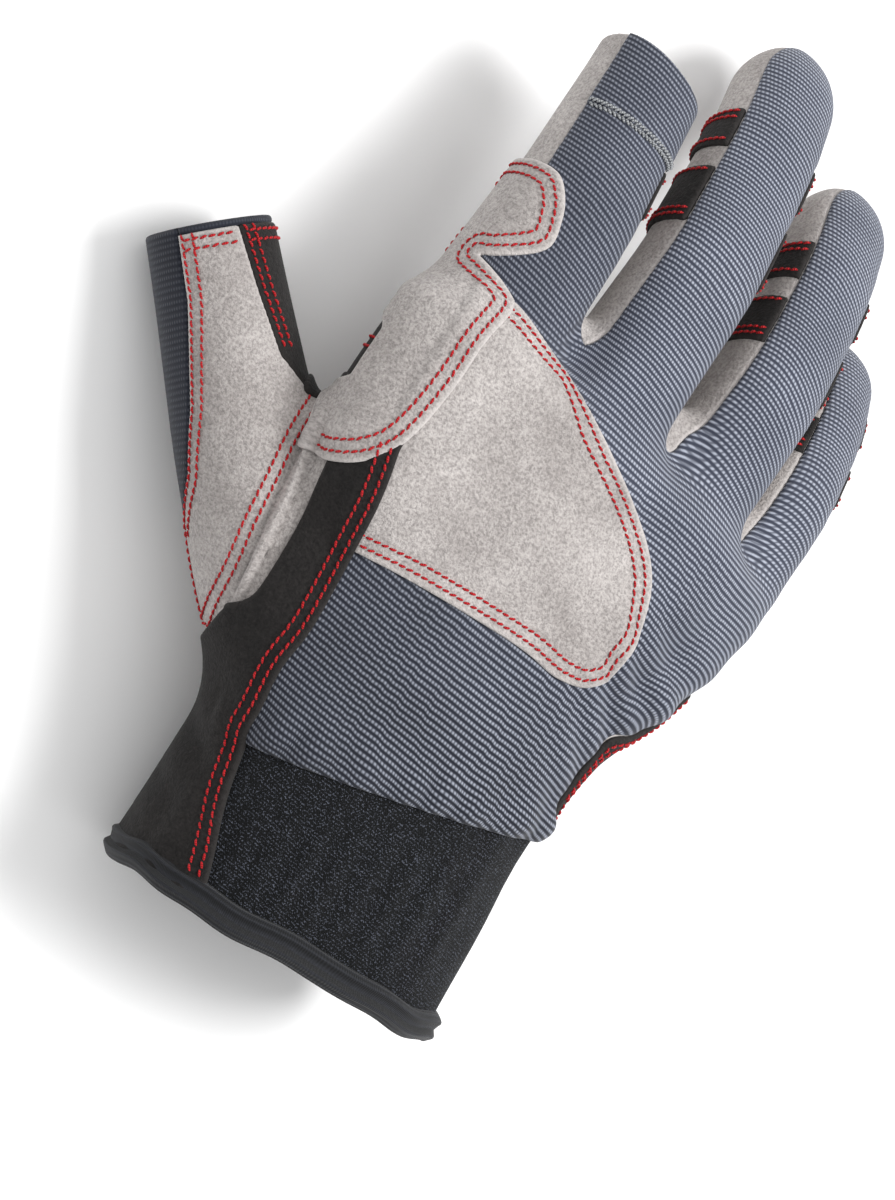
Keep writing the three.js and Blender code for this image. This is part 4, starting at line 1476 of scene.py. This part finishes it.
def binding(around=220, profile=36):
    """A folded elastic tape over the cuff's edge: a flattened, ridged tube swept round the mouth."""
    angles = TURN * (np.arange(around) + 0.5) / around
    wave = 0.35 * np.sin(5 * angles) + 0.25 * np.sin(11 * angles + 1)
    rings = []
    for k in range(profile):
        turn = TURN * k / profile
        y = HEM / 2 + (HEM / 2 + 0.6) * powered(math.sin(turn), 0.6)
        out = 0.2 + 1.35 * powered(math.cos(turn), 0.6)
        if out > 0:
            out += 0.4 * math.cos(TURN * (y - 1.2) / RIDGE_PITCH)
        x0, z0, a, b = ring_values(HAND_RINGS, np.full(around, y))
        x = x0 + (a + out) * powered(np.cos(angles), 2 / HAND_POWER)
        z = z0 + (b + out) * powered(np.sin(angles), 2 / HAND_POWER)
        rings.append(np.stack([x, y - 0.6 + wave, z], axis=1))
    points = np.stack(rings, axis=1).reshape(-1, 3)
    i, k = np.meshgrid(np.arange(around), np.arange(profile), indexing="ij")

    def corner(i, k):
        return ((i % around) * profile + k % profile).ravel()

    a, b, c, d = corner(i, k), corner(i + 1, k), corner(i + 1, k + 1), corner(i, k + 1)
    faces = np.concatenate([np.stack([a, b, c], axis=1), np.stack([a, c, d], axis=1)])
    cloth = np.stack([i.ravel() * 1.1, k.ravel() * 14.5 / profile, 0 * i.ravel()], axis=1).astype(float)
    outward = (points - points.mean(axis=0)) * vertex_normals(points, faces)
    if outward[:, [0, 2]].sum(axis=1)[0::profile].mean() < 0:
        faces = faces[:, ::-1]
    return Surface(points, faces, {"cloth": cloth, "rest": points.copy()})


tape = make_object("cuff_binding_tape", binding(), BINDING)
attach(tape, "hand")
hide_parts("cuff_binding")

# ---- The wrist closure --------------------------------------------------------------------------

UNDER = -13.5 - POINTS[:, 2]  # the palm's side of the wrist
PAD = 1.0  # thickness of a hook or loop tape


def closure_piece(name, x0, x1, y0, y1, lift, thickness, material, slot, body, *nodes):
    cut, height = cut_from_skin(within(palm_box(x0, x1, y0, y1, 4), UNDER), lift, 0.3)
    piece = make_object(name, shell(cut, height, thickness), material)
    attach(piece, body)
    for node in nodes:
        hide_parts(node)


closure_piece("loop_tape", -12, 20, 11, 29, 1.3, PAD, HOOK, "hook_and_loop", "hand", "wrist_loop_pad")
closure_piece("hook_tape", -12, 13, 11, 29, 2.6, PAD, HOOK, "hook_and_loop", "wrist_tab", "wrist_hook_pad")
tab_lift = 1.3 + 3.4 * smooth_step(POINTS[:, 0], -33, -14)  # from its seam up over both tapes
closure_piece("closure_tab", -60, 14, 9, 31, tab_lift, 1.8, KNIT, "neoprene", "wrist_tab", "wrist_tab")
closure_piece("closure_pull", 13, 20, 9, 31, 5.1, 2.2, BINDING, "binding", "wrist_tab", "wrist_tab_pull")

# ---- Floor, light and camera --------------------------------------------------------------------


def make_floor(half=3.0):
    mesh = bpy.data.meshes.new("floor")
    corners = [(-half, -half, 0), (half, -half, 0), (half, half, 0), (-half, half, 0)]
    mesh.from_pydata(corners, [], [(0, 1, 2, 3)])
    floor = bpy.data.objects.new("floor", mesh)
    bpy.context.scene.collection.objects.link(floor)
    material = bpy.data.materials.new("floor")
    material.use_nodes = True
    surface = material.node_tree.nodes["Principled BSDF"]
    surface.inputs["Base Color"].default_value = (0.93, 0.93, 0.93, 1)
    surface.inputs["Roughness"].default_value = 0.9
    mesh.materials.append(material)


def make_light(name, place, size, power):
    light = bpy.data.lights.new(name, "AREA")
    light.size, light.energy = size, power
    lamp = bpy.data.objects.new(name, light)
    bpy.context.scene.collection.objects.link(lamp)
    lamp.location = place
    lamp.rotation_euler = (-Vector(place)).to_track_quat("-Z", "Y").to_euler()


def make_world():
    world = bpy.data.worlds.new("studio")
    world.use_nodes = True
    ground = world.node_tree.nodes["Background"]
    ground.inputs["Color"].default_value = (1, 1, 1, 1)
    ground.inputs["Strength"].default_value = 0.55
    bpy.context.scene.world = world
    bpy.context.scene.view_settings.view_transform = "Standard"


def make_camera():
    """The photograph's view: a long lens over the thumb's side of the back, rolled so that the fingers
    point up and to the right."""
    roll = math.radians(32)
    along_hand = np.array([0, 1, 0])
    target = -8.0 * VIEW_ACROSS + 74.35 * along_hand
    right = math.cos(roll) * VIEW_ACROSS + math.sin(roll) * along_hand
    up = np.cross(VIEW_BACK, right)
    distance, height, sensor = 1200.0, 230.8, 36.0  # height is what the picture's longer side takes in
    camera = bpy.data.cameras.new("camera")
    camera.sensor_width = sensor
    camera.lens = sensor * distance / height
    camera.clip_end = 20
    eye = bpy.data.objects.new("camera", camera)
    bpy.context.scene.collection.objects.link(eye)
    axes = np.array([right, up, VIEW_BACK]) @ AXES
    place = to_row(target + distance * VIEW_BACK)
    eye.matrix_world = Matrix([[*axes[:, i], place[i]] for i in range(3)] + [[0, 0, 0, 1]])
    bpy.context.scene.camera = eye


make_floor()
make_world()
make_light("key", (0.55, 0.45, 1.25), 0.6, 19)
make_light("fill", (-0.8, 0.3, 1.1), 1.2, 4)
make_light("top", (0.0, 0.1, 1.6), 1.6, 8)
make_camera()
